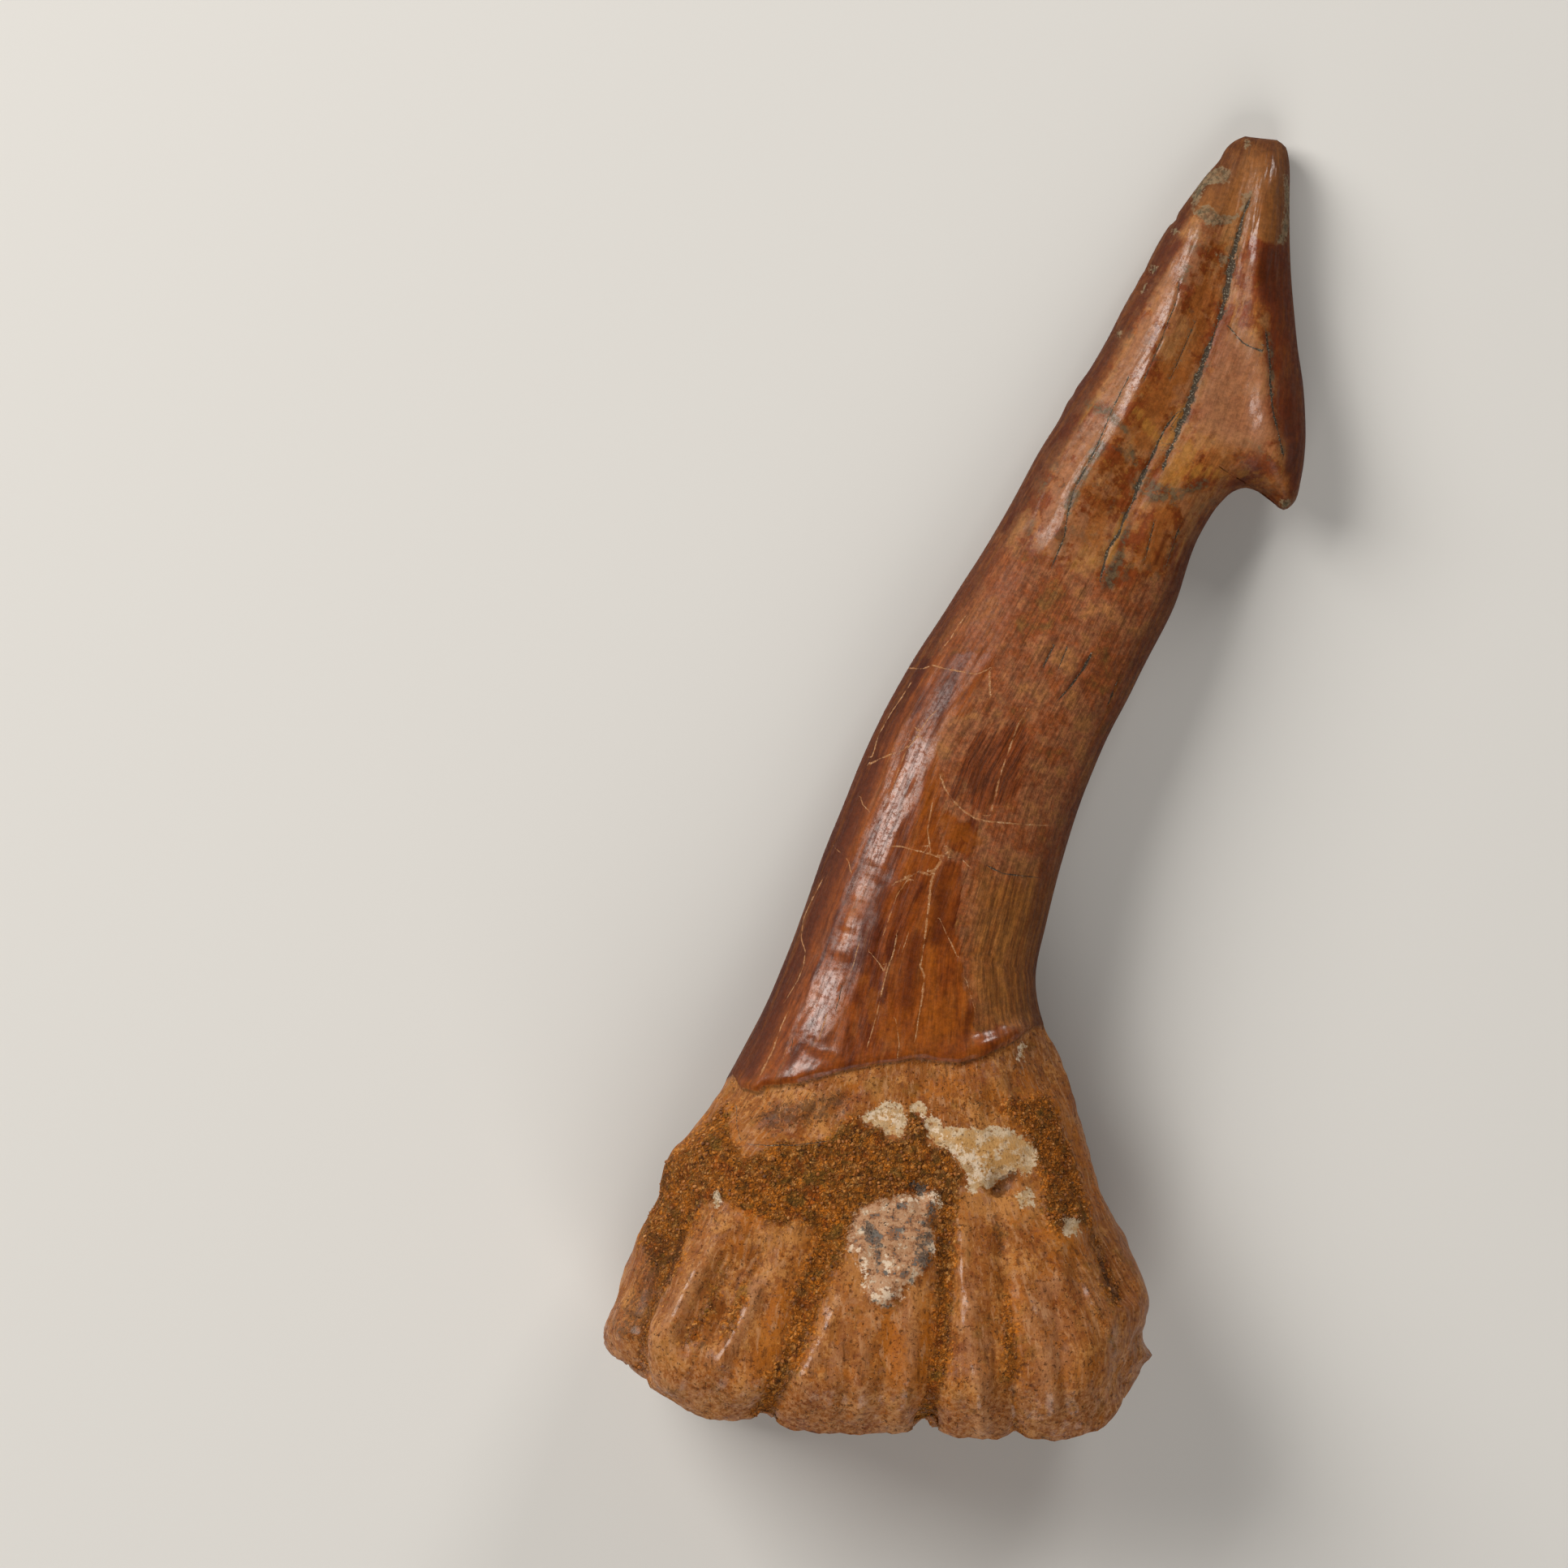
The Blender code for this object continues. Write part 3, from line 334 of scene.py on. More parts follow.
# Soft stains: points, half width and strength
stains = {
    "orange": (
        (((14.3, 27.6), (13.4, 24.6), (11.6, 21.6), (10.7, 19.5)), 0.75, 1.0),
        (((15.4, 18.3), (14.2, 18.0)), 0.9, 0.8), (((8.0, 15.6), (7.6, 13.6)), 0.8, 0.7),
        (((18.4, 26.8), (18.7, 24.2)), 0.4, 0.8), (((18.3, 17.2), (18.5, 16.6)), 0.6, 0.6),
        (((11.7, 15.2), (11.0, 12.6)), 0.8, 0.7), (((9.2, 24.4), (8.0, 22.2)), 0.35, 0.8),
        (((9.6, 26.0), (11.0, 28.4)), 0.4, 0.7), (((-4.6, -12.5), (-3.4, -13.8)), 0.9, 0.7),
        (((-5.0, -11.0), (-4.4, -12.0)), 0.7, 0.5), (((-0.4, -2.2), (0.9, -3.4)), 0.7, 0.8),
        (((-0.6, -12.6), (-1.2, -14.6)), 0.9, 0.5), (((-7.0, -24.6), (-8.6, -29.6)), 1.2, 1.0),
        (((-12.2, -22.6), (-11.2, -24.0)), 0.9, 0.9), (((5.0, -24.6), (7.4, -25.4)), 0.8, 0.9),
        (((-3.6, -29.8), (-3.0, -33.0)), 0.9, 0.8), (((-12.8, -18.6), (-12.6, -20.6)), 0.6, 0.7),
        (((-9.4, -22.8), (-7.0, -23.8)), 0.9, 0.7), (((3.2, -28.0), (3.2, -33.0)), 0.7, 0.7),
        (((6.4, -33.0), (8.0, -32.4)), 1.0, 0.5), (((-1.4, -17.0), (0.2, -16.6)), 0.8, 0.6),
        (((4.0, -16.6), (5.4, -18.6)), 0.9, 0.6), (((4.6, -18.2), (5.6, -20.0), (7.0, -23.2)), 1.6, 1.0),
        (((-9.6, -28.4), (-11.0, -33.0)), 0.8, 0.9), (((-1.2, -29.0), (-1.8, -34.6)), 0.8, 0.8),
        (((-11.0, -22.6), (-9.0, -23.4)), 1.0, 0.8),
    ),
    "ochre": (
        (((11.9, 19.0), (10.9, 20.0), (10.2, 20.9)), 0.45, 0.8), (((12.9, 21.2), (12.3, 19.4)), 0.35, 0.9),
        (((13.0, 18.8), (12.0, 17.0)), 0.7, 0.9), (((13.4, 17.6), (15.0, 17.4)), 0.5, 0.7),
        (((9.5, 14.8), (8.6, 12.6)), 0.35, 0.8), (((7.2, 20.4), (8.2, 21.6)), 0.35, 0.8),
        (((12.8, 14.0), (12.4, 11.8)), 0.35, 0.6), (((16.2, 27.4), (15.7, 25.6)), 0.35, 0.7),
        (((17.2, 17.2), (16.2, 17.6)), 0.5, 0.6), (((7.6, 12.4), (6.6, 12.2)), 0.6, 0.6),
    ),
    # pink tints; those along the ridges and rib crests are partly painted sheen
    "pinkAndSheen": (
        (((5.3, 13.2), (6.3, 16.4), (7.7, 19.6), (9.3, 21.8), (11.4, 26.0), (13.4, 29.4)), 0.75, 1.0),
        (((6.4, 13.0), (7.4, 15.4)), 0.8, 0.6), (((15.4, 23.6), (14.8, 21.4)), 0.9, 0.7),
        (((13.9, 20.6), (13.2, 19.0)), 0.6, 0.5), (((-13.2, -28.2), (-15.4, -31.6)), 0.5, 0.6),
        (((-11.2, -27.6), (-12.6, -32.2)), 0.5, 0.6), (((1.6, -28.4), (1.9, -34.4)), 0.7, 0.5),
        (((5.2, -27.6), (5.8, -32.0)), 1.0, 0.7), (((-5.8, -28.8), (-6.8, -33.0)), 0.6, 0.6),
        (((-5.4, -10.2), (-4.6, -6.0)), 0.8, 0.35), (((-3.2, -29.0), (-2.6, -31.6)), 0.6, 0.6),
        (((16.6, 29.2), (16.4, 27.4)), 0.4, 0.7),
    ),
    "dark": (
        (((-11.4, -15.9), (-9.0, -10.6), (-6.6, -4.6), (-4.4, 1.2)), 0.7, 0.8),
        (((-2.8, 5.2), (-0.4, 9.2)), 0.5, 0.7), (((3.0, 14.4), (5.6, 18.6)), 0.5, 0.8),
        (((7.4, 21.6), (9.8, 25.8), (12.6, 30.4)), 0.5, 0.75), (((18.7, 22.6), (18.8, 19.8)), 0.45, 0.9),
        (((19.1, 18.9), (19.0, 17.8)), 0.5, 1.0), (((17.7, 29.6), (17.9, 27.6)), 0.7, 1.0),
        (((13.4, 13.4), (12.2, 11.2)), 0.3, 0.7), (((11.9, 14.2), (11.2, 12.4)), 0.16, 0.7),
        (((-2.2, -8.6), (-2.7, -12.2)), 0.6, 0.6), (((-2.9, -6.2), (-3.1, -7.8)), 0.5, 0.6),
        (((-0.6, -5.2), (-0.9, -8.6)), 0.65, 0.6), (((0.9, -12.2), (0.5, -14.2)), 0.35, 0.45),
        (((5.6, 8.2), (4.9, 6.6)), 0.4, 0.6), (((6.0, 5.0), (7.4, 7.0)), 0.22, 0.5),
        (((-15.4, -24.8), (-15.7, -26.0), (-16.1, -27.6)), 0.32, 0.8),
        (((-17.6, -24.4), (-16.9, -23.0)), 0.5, 0.5), (((8.6, -26.2), (9.3, -28.3)), 0.26, 0.7),
        (((10.3, -31.2), (10.2, -32.2)), 0.35, 0.45),
        (((3.3, -21.7), (2.7, -22.2), (2.4, -22.5)), 0.4, 0.9), (((-2.3, -22.3), (-1.6, -22.5)), 0.4, 0.9),
        (((-1.3, -23.3), (-1.3, -24.4)), 0.3, 1.0), (((2.3, -23.9), (2.6, -26.0)), 0.35, 0.6),
        (((9.0, 25.4), (7.4, 21.9), (5.4, 18.4)), 0.7, 0.8), (((13.2, 32.4), (11.2, 29.0)), 0.5, 0.8),
        (((1.0, -17.6), (1.6, -18.4)), 0.9, 0.4),
        (((-10.6, -18.4), (-8.4, -18.2), (-6.6, -17.6)), 1.1, 0.62),
        (((-16.6, -25.4), (-18.4, -30.4)), 0.8, 0.6), (((17.9, 16.1), (18.8, 15.8)), 0.45, 0.5),
        (((6.2, 19.4), (7.6, 22.2)), 0.5, 0.7), (((-13.8, -30.6), (-14.6, -31.8)), 0.3, 0.5),
        (((-10.5, -25.0), (-10.9, -26.4)), 0.2, 0.5),
    ),
    "white": (
        (((-4.4, -28.4), (-3.7, -28.2)), 0.42, 1.0), (((-1.3, -22.8), (-0.9, -23.2)), 0.35, 1.0),
        (((-5.8, -25.5), (-5.4, -25.9)), 0.28, 0.9), (((-3.9, -26.2), (-3.7, -27.1)), 0.24, 0.9),
        (((-5.0, -26.4), (-5.1, -27.9)), 0.32, 0.75), (((-2.0, -23.0), (-2.9, -23.1)), 0.25, 0.7),
        (((3.8, -14.6), (3.7, -15.3)), 0.2, 0.9), (((-13.3, -23.0), (-13.1, -23.1)), 0.2, 0.9),
        (((-0.6, -19.6), (-1.2, -19.2), (-1.9, -18.3)), 0.3, 0.7), (((0.8, -21.9), (1.9, -21.6)), 0.4, 0.8),
        (((0.2, -20.4), (1.0, -20.9), (1.3, -21.6)), 0.6, 0.8), (((-4.6, -18.4), (-3.2, -18.5)), 0.5, 0.75),
    ),
    "soot": (
        (((-2.2, -22.2), (-1.6, -22.5)), 0.3, 0.95), (((-4.9, -24.6), (-4.4, -25.4)), 0.4, 0.85),
        (((-4.35, -25.7), (-4.2, -27.0)), 0.16, 0.8), (((-1.8, -25.3), (-1.7, -26.6)), 0.5, 0.85),
        (((-1.3, -23.4), (-1.25, -24.1)), 0.2, 0.9), (((-1.6, -24.9), (-1.3, -25.4)), 0.2, 0.7),
        (((-4.6, -28.7), (-3.7, -28.9)), 0.14, 0.7), (((4.0, -15.3), (3.8, -15.9)), 0.14, 0.5),
        (((-3.4, -25.2), (-3.0, -25.4)), 0.2, 0.5), (((-2.6, -27.4), (-2.3, -27.7)), 0.18, 0.6),
    ),
    "grey": (
        (((7.8, 21.3), (8.7, 20.8)), 0.45, 0.9), (((8.9, 20.6), (9.3, 20.0)), 0.32, 0.8),
        (((9.4, 20.0), (9.6, 19.7)), 0.26, 0.8), (((9.9, 18.8), (10.2, 17.9)), 0.2, 0.9),
        (((10.4, 16.9), (11.2, 16.3), (12.2, 16.2)), 0.6, 1.0), (((12.8, 16.4), (13.9, 16.9)), 0.34, 0.9),
        (((9.2, 12.6), (8.6, 11.2)), 0.42, 1.0), (((9.8, 14.6), (9.3, 13.0)), 0.26, 0.8),
        (((7.2, 13.9), (7.5, 13.4)), 0.3, 0.5), (((8.3, 18.9), (7.7, 18.1)), 0.34, 1.0),
        (((7.5, 17.6), (7.0, 16.7)), 0.3, 0.9), (((6.9, 16.4), (6.5, 15.5)), 0.3, 0.9),
        (((8.9, 15.8), (8.8, 15.2)), 0.3, 0.5), (((14.4, 31.2), (13.6, 29.9)), 0.6, 0.5),
        (((13.2, 28.9), (12.9, 28.2)), 0.4, 0.6), (((4.5, 14.7), (4.2, 14.0)), 0.35, 0.5),
        (((16.4, 19.2), (17.2, 18.8)), 0.4, 0.5), (((17.8, 24.8), (17.8, 22.6)), 0.16, 0.8),
        (((18.1, 19.2), (18.4, 18.6)), 0.2, 0.7), (((12.0, 25.2), (11.4, 24.2)), 0.25, 0.5),
        (((1.8, 10.6), (0.8, 12.4)), 0.8, 0.3), (((5.2, 16.8), (4.8, 15.9)), 0.3, 0.5),
    ),
    # where the polish is best kept
    "shine": (
        (((-0.4, 5.2), (-1.3, 3.2)), 0.6, 0.3), (((-1.9, 1.9), (-3.0, -0.6), (-4.2, -4.2)), 0.85, 1.0),
        (((-4.9, -5.6), (-5.2, -6.0)), 0.7, 0.7), (((-5.6, -8.0), (-6.2, -9.1)), 0.5, 0.8),
        (((-6.9, -11.0), (-7.8, -13.4)), 0.85, 1.0), (((-9.0, -15.7), (-7.2, -15.4)), 0.75, 1.0),
        (((0.8, -14.3), (2.2, -14.0), (3.2, -13.6)), 0.55, 1.0), (((1.2, -12.6), (1.3, -12.8)), 0.22, 0.9),
        (((14.0, 31.0), (13.2, 28.8)), 0.85, 1.0),
        (((13.4, 28.7), (12.0, 26.4), (11.2, 24.3), (9.6, 21.2)), 0.5, 1.0),
        (((9.6, 21.2), (8.2, 18.8), (6.4, 17.0), (5.3, 13.7)), 0.55, 0.75),
        (((18.0, 35.6), (17.6, 33.4), (17.1, 31.4)), 0.7, 1.0), (((17.0, 31.4), (16.6, 29.0)), 0.6, 0.9),
        (((16.4, 21.8), (17.2, 20.6)), 0.6, 0.8),
    ),
}

# Lines: points, half width at the start and at the end
darkLines = (
    (((16.7, 32.9), (16.3, 31.9), (16.1, 31.1), (15.8, 29.9)), 0.07, 0.17),
    (((15.75, 29.7), (15.5, 28.4), (15.2, 26.9), (15.0, 26.2)), 0.24, 0.18),
    (((15.1, 26.3), (14.8, 25.7), (14.5, 24.8)), 0.05, 0.09),
    (((14.4, 24.6), (14.2, 24.1), (13.75, 22.9)), 0.14, 0.2),
    (((13.75, 22.9), (13.1, 20.9), (12.6, 19.8)), 0.22, 0.2),
    (((12.6, 20.2), (12.5, 19.4), (12.1, 18.7), (11.8, 17.8)), 0.1, 0.12),
    (((12.5, 20.8), (11.9, 20.0), (11.5, 19.2), (11.1, 18.3), (10.7, 17.5), (10.3, 16.6),
      (10.1, 15.9)), 0.06, 0.16),
    (((10.1, 15.9), (9.6, 15.0), (9.3, 14.1), (8.6, 13.1), (8.2, 11.5)), 0.11, 0.08),
    (((17.5, 25.3), (17.7, 23.6), (17.7, 22.2), (17.8, 20.7), (18.1, 19.6), (18.3, 18.5)), 0.08, 0.06),
    (((15.5, 25.7), (16.2, 24.8), (16.7, 24.5), (17.2, 24.3)), 0.04, 0.07),
    (((9.9, 22.8), (8.97, 20.98), (8.06, 18.8), (6.8, 16.4)), 0.03, 0.045),
    (((6.8, 16.4), (6.4, 14.9), (6.2, 13.8), (5.5, 12.2)), 0.045, 0.035),
    (((12.7, 28.1), (12.5, 26.9), (12.1, 26.0), (11.7, 24.9), (10.7, 22.6)), 0.03, 0.03),
    (((13.6, 26.0), (12.9, 24.4), (12.2, 22.8)), 0.025, 0.025),
    (((7.6, 7.2), (7.1, 6.3), (6.4, 5.4), (5.7, 4.6)), 0.09, 0.03), (((5.5, 7.6), (5.0, 6.6)), 0.07, 0.04),
    (((9.2, 6.0), (8.5, 4.3)), 0.04, 0.03), (((6.3, 7.6), (5.8, 6.4)), 0.05, 0.03),
    (((1.9, -4.6), (2.7, -5.0), (3.6, -5.1), (4.5, -5.2)), 0.045, 0.03),
    (((-6.3, -11.4), (-6.4, -12.0), (-6.6, -12.6)), 0.035, 0.035),
    (((-12.4, -17.8), (-12.35, -18.6), (-12.1, -19.6)), 0.025, 0.02),
    (((-9.0, -14.3), (-9.1, -15.1)), 0.03, 0.03), (((11.2, 14.6), (10.6, 12.4)), 0.04, 0.02),
    (((12.6, 14.4), (11.8, 12.2)), 0.04, 0.02),
    (((-11.6, -19.9), (-9.0, -20.0), (-7.2, -19.8)), 0.04, 0.03),
)
paleLines = (
    (((-0.5, -3.9), (-1.1, -4.8), (-1.3, -5.5)), 0.12, 0.09),
    (((-1.3, -5.5), (-1.5, -7.2), (-1.7, -8.8), (-1.9, -10.2)), 0.08, 0.05),
    (((-1.9, -10.2), (-1.7, -10.7), (-1.8, -11.8), (-2.0, -12.9), (-2.2, -14.2)), 0.09, 0.04),
    (((-2.7, -5.5), (-3.2, -6.2), (-3.5, -7.1), (-4.0, -8.5)), 0.06, 0.03),
    (((-3.2, -8.4), (-3.4, -9.4), (-3.7, -10.2), (-4.0, -11.3), (-4.3, -12.7), (-4.6, -13.8),
      (-4.9, -14.7)), 0.05, 0.04),
    (((-4.7, -9.4), (-4.2, -10.0), (-3.9, -10.5)), 0.03, 0.05),
    (((-0.8, -7.6), (-0.5, -8.3), (-0.2, -8.9), (0.1, -9.6)), 0.05, 0.04),
    (((0.6, -10.9), (0.8, -11.6), (1.0, -12.5)), 0.03, 0.03),
    (((-7.3, -5.3), (-8.0, -6.6), (-8.4, -7.5), (-8.5, -8.7), (-8.2, -9.4), (-8.3, -10.2), (-8.6, -11.0),
      (-9.3, -12.1)), 0.04, 0.035),
    (((-9.2, -12.8), (-9.6, -13.6), (-10.1, -15.0), (-10.7, -16.2)), 0.035, 0.06),
    (((-6.6, -3.6), (-6.1, -4.0), (-5.8, -4.4), (-5.7, -4.9)), 0.04, 0.03),
    (((-3.5, -3.5), (-3.0, -3.5), (-2.2, -3.7), (-1.4, -3.9), (-0.8, -4.1)), 0.05, 0.06),
    (((-0.4, -3.5), (0.2, -4.0), (0.9, -4.7)), 0.04, 0.04), (((-2.6, -8.4), (-3.0, -9.6)), 0.035, 0.02),
    (((-5.2, -8.6), (-5.6, -10.0), (-5.9, -10.8)), 0.03, 0.03),
    (((-7.1, -12.9), (-7.5, -14.2)), 0.04, 0.03),
    (((-3.3, -13.1), (-3.2, -13.7), (-3.1, -14.5)), 0.025, 0.025),
    (((-9.1, -14.2), (-9.5, -15.3)), 0.03, 0.03),
    (((-2.5, 6.5), (-1.7, 6.4), (-1.1, 6.6), (-0.4, 6.4), (0.2, 6.3)), 0.045, 0.05),
    (((0.2, 6.3), (1.3, 6.1), (1.9, 6.4)), 0.04, 0.05),
    (((0.8, 9.4), (0.3, 8.8), (-0.1, 8.1), (-0.5, 7.6)), 0.05, 0.03),
    (((2.0, 6.2), (2.0, 5.6), (2.0, 5.0)), 0.09, 0.06),
    (((-2.3, 5.6), (-2.9, 4.7), (-3.5, 3.8), (-4.1, 2.8), (-4.5, 1.5)), 0.04, 0.04),
    (((-0.9, 4.1), (-1.4, 3.6), (-2.0, 2.7), (-2.5, 2.0), (-2.9, 1.2), (-3.3, 0.0)), 0.03, 0.04),
    (((-4.6, 1.1), (-3.8, 1.5), (-2.9, 1.8), (-2.4, 2.2)), 0.06, 0.04),
    (((4.1, 4.4), (3.9, 3.9), (3.5, 3.2), (3.2, 2.3), (2.8, 1.2), (2.5, 0.2), (2.3, -0.6),
      (2.0, -1.7)), 0.04, 0.08),
    (((-0.7, 0.3), (-0.5, -0.3), (0.0, -1.0), (0.5, -1.5), (1.1, -1.9), (1.9, -2.1), (3.2, -2.2),
      (5.0, -2.3)), 0.06, 0.05),
    (((-5.1, -0.9), (-5.0, -1.2), (-4.7, -1.5)), 0.04, 0.03),
    (((-3.2, -5.5), (-2.6, -5.2), (-2.0, -4.9)), 0.1, 0.12), (((-2.0, -4.9), (-1.4, -5.1)), 0.12, 0.12),
    (((-3.8, -16.0), (-3.7, -17.2)), 0.05, 0.03), (((-3.1, -14.6), (-3.2, -15.2)), 0.03, 0.03),
    (((-7.6, -4.0), (-7.0, -2.4), (-6.2, -0.6)), 0.03, 0.03),
    (((-1.2, -1.0), (-1.5, -2.6), (-1.3, -3.8)), 0.04, 0.06), (((-2.0, 3.0), (-1.6, 2.2)), 0.05, 0.03),
)
print("markings listed")


# A smooth curve through values given at rising knots
def smoothCurve(knots, values, at):
    knots = np.asarray(knots, float)
    values = np.asarray(values, float)
    tangents = np.gradient(values, knots, axis=0)
    span = np.clip(np.searchsorted(knots, at, side="right") - 1, 0, len(knots) - 2)
    length = knots[span + 1] - knots[span]
    t = (at - knots[span]) / length
    if values.ndim == 2:
        t = t[:, None]
        length = length[:, None]
    start = (1 + 2 * t) * (1 - t) ** 2 * values[span] + t * (1 - t) ** 2 * length * tangents[span]
    end = t**2 * (3 - 2 * t) * values[span + 1] + t**2 * (t - 1) * length * tangents[span + 1]
    return start + end


def smoothStep(value, low, high):
    t = np.clip((value - low) / (high - low), 0.0, 1.0)
    return t * t * (3.0 - 2.0 * t)


# Distance to a path, the place along it counted in its points, and the side: 1 to its left, -1 to its right
def nearestOnPath(x, y, path):
    nearest = np.full(x.shape, np.inf)
    place = np.zeros(x.shape)
    side = np.ones(x.shape)
    for index, ((ax, ay), (bx, by)) in enumerate(zip(path[:-1], path[1:])):
        lengthSquared = max((bx - ax) ** 2 + (by - ay) ** 2, 1e-12)
        along = np.clip(((x - ax) * (bx - ax) + (y - ay) * (by - ay)) / lengthSquared, 0.0, 1.0)
        gap = np.hypot(x - ax - along * (bx - ax), y - ay - along * (by - ay))
        closer = gap < nearest
        place = np.where(closer, index + along, place)
        side = np.where(closer, np.sign((bx - ax) * (y - ay) - (by - ay) * (x - ax)), side)
        nearest = np.minimum(nearest, gap)
    return nearest, place, side


# How far inside an outline points are, negative outside
def insideReach(x, y, outline):
    closed = list(outline) + [outline[0]]
    distance = nearestOnPath(x, y, closed)[0]
    inside = np.zeros(x.shape, bool)
    for (ax, ay), (bx, by) in zip(closed[:-1], closed[1:]):
        crosses = (ay > y) != (by > y)
        inside ^= crosses & (x < (bx - ax) * (y - ay) / ((by - ay) or 1e-9) + ax)
    return np.where(inside, distance, -distance)


def noiseAt(points, size, seed):
    offset = Vector((seed, seed * 0.37, -seed * 0.71))  # each seed reads another place of the noise
    return np.array([noise.noise(Vector(point) / size + offset) for point in points])


def summedNoise(points, name):
    rows = toothRelief["noise"][name]
    return sum(amount * noiseAt(points, size, seed) for amount, size, seed in rows)


def stationDistances():
    lefts, rights = np.array(toothShape["outline"]).transpose(1, 0, 2)
    steps = np.hypot(*np.diff((lefts + rights) / 2, axis=0).T)
    sides = (np.hypot(*np.diff(lefts, axis=0).T) + np.hypot(*np.diff(rights, axis=0).T)) / 2
    return np.concatenate([[0.0], np.cumsum((steps + sides) / 2)])


stationAt = stationDistances()


def sideEdges(at):
    lefts, rights = np.array(toothShape["outline"]).transpose(1, 0, 2)
    return smoothCurve(stationAt, lefts, at), smoothCurve(stationAt, rights, at)


# Share of the way across a row, with the barb's columns spread from its short root
def shareAcross(at, across, rowLength):
    share = (across + 1) / 2
    full, last = stationAt[list(toothShape["barbStations"][1:])]
    notch = toothShape["notchStation"]
    notchLength = np.hypot(*np.subtract(*toothShape["outline"][notch]))
    spread = np.where(at > stationAt[notch], 1 - smoothStep(at, full, last), 0)
    kept = 1 + (np.minimum(notchLength / rowLength, 1) - 1) * spread
    barbRoot = toothShape["barbRootShare"]
    beyond = kept * barbRoot + (share - barbRoot) / (1 - barbRoot) * (1 - kept * barbRoot)
    return np.where(share < barbRoot, share * kept, beyond)


def planPosition(at, across):
    left, right = sideEdges(at)
    share = shareAcross(at, across, np.hypot(*(right - left).T))
    x, y = (left * (1 - share[:, None]) + right * share[:, None]).T
    fade = np.clip(1 - at / toothShape["bowFadesOver"], 0, 1) ** 1.5
    leftPower, rightPower = toothShape["rimCornerPowers"]
    power = 2 + (np.where(across < 0, leftPower, rightPower) - 2) * fade
    y = y - toothShape["rimBow"] * fade * (1 + toothShape["rimSkew"] * across) * (1 - np.abs(across) ** power)
    first, full, last = stationAt[list(toothShape["barbStations"])]
    arch = smoothStep(at, first, full) * (1 - smoothStep(at, full, last))
    y = y + toothShape["barbArch"] * arch * np.exp(
        -(((share - toothShape["barbArchPlace"]) / toothShape["barbArchWidth"]) ** 2)
    )
    for slitX, halfWidth, depth in toothShape["rimSlits"]:
        slitFade = np.clip(1 - at / toothShape["slitFadesOver"], 0, 1) ** 2
        y = y + depth * slitFade * np.exp(-(((x - slitX) / halfWidth) ** 2))
    return x, y


# The side edges and the tip as one path, run on past the rim
def makeSidePath():
    left, right = sideEdges(np.linspace(0, stationAt[-1], toothShape["edgePlaces"]))
    below = np.array([0.0, -toothShape["edgeRunOn"]])
    return np.concatenate([[left[0] + below], left, right[::-1], [right[0] + below]])


sidePath = makeSidePath()


def axisPlace(x, y):
    axisPoints = [point for point, _ in toothShape["axis"]]
    offAxis, place, side = nearestOnPath(x, y, axisPoints)
    knots = np.arange(len(axisPoints))
    reach = np.interp(place, knots, [reach for _, reach in toothShape["axis"]])
    axisY = np.interp(place, knots, [point[1] for point in axisPoints])
    return offAxis, reach, axisY, side


def halfHeight(x, y, at, offSide):
    offAxis, reach, axisY, _ = axisPlace(x, y)
    knots = [line[0] for line in toothShape["body"]]
    axisY = np.clip(axisY, knots[0], knots[-1])
    thickness, radius, dome = smoothCurve(knots, [line[1:] for line in toothShape["body"]], axisY).T
    inside = np.clip((offSide + toothShape["edgeBluntness"]) / radius, 0, 1)
    rounded = np.sqrt(1 - (1 - inside) ** 2)
    lip = 1 - (1 - toothShape["lipThickness"]) * np.clip(1 - at / toothShape["lipReach"], 0, 1) ** 2
    return thickness / 2 * rounded * (1 - dome * np.clip(offAxis / reach, 0, 1) ** 2) * lip


def ringLayout(columns):
    turn = 2 * np.pi * np.arange(columns) / columns
    even = 1 - 2 * np.abs(turn / np.pi - 1)
    evenness = toothShape["columnEvenness"]
    across = evenness * even - (1 - evenness) * np.cos(turn)
    upper = (np.sign(np.round(np.sin(turn), 6)) + 1) / 2
    return across, upper


def rowDistances(coarser):
    knots, spacing = np.array(toothShape["rowSpacing"]).T
    fine = np.linspace(0, stationAt[-1], toothShape["rowSamples"])
    count = np.concatenate([[0.0], np.cumsum(np.diff(fine) / np.interp(fine[1:], knots, spacing))])
    rows = int(count[-1] / coarser)
    return np.interp(np.linspace(0, count[-1], rows), count, fine)


# All the points of the plain body, ring after ring, from the bottom of the root's trough to the tip
def bodyPoints(coarser):
    across, upper = ringLayout(2 * int(toothShape["columns"] / coarser / 2))
    count = len(across)
    rows = rowDistances(coarser)
    at = np.repeat(rows, count)
    x, y = planPosition(at, np.tile(across, len(rows)))
    offSide = nearestOnPath(x, y, sidePath)[0]
    uppers = np.tile(upper, len(rows))
    z = halfHeight(x, y, at, offSide) * (2 * uppers - 1)
    body = np.stack([x, y, z], axis=1)
    rimZ = body[:count, 2]
    depths, heights, widths, reliefs = np.array(toothShape["trough"]).T
    steps = np.linspace(0, 1, toothShape["troughRings"] + 1)[1:][::-1] * (len(depths) - 1)
    knots = np.arange(len(depths))
    trough = []
    for step in steps:
        depth, height, width = (np.interp(step, knots, values) for values in (depths, heights, widths))
        innerX, innerY = planPosition(np.zeros(count), across * width)
        bowl = np.sqrt(np.clip(1 - across**4, 0, 1))
        innerY = innerY + depth * bowl + toothShape["troughSink"] * depth
        trough.append(np.stack([innerX, innerY, rimZ * height], axis=1))
    points = np.concatenate(trough + [body])
    rings = len(steps) + len(rows)
    reliefShare = np.ones(len(points))
    reliefShare[: count * len(steps)] = np.repeat(np.interp(steps, knots, reliefs), count)
    offSides = np.concatenate([np.tile(offSide[:count], len(steps)), offSide])
    return points, np.tile(upper, rings), reliefShare, offSides, count, rings


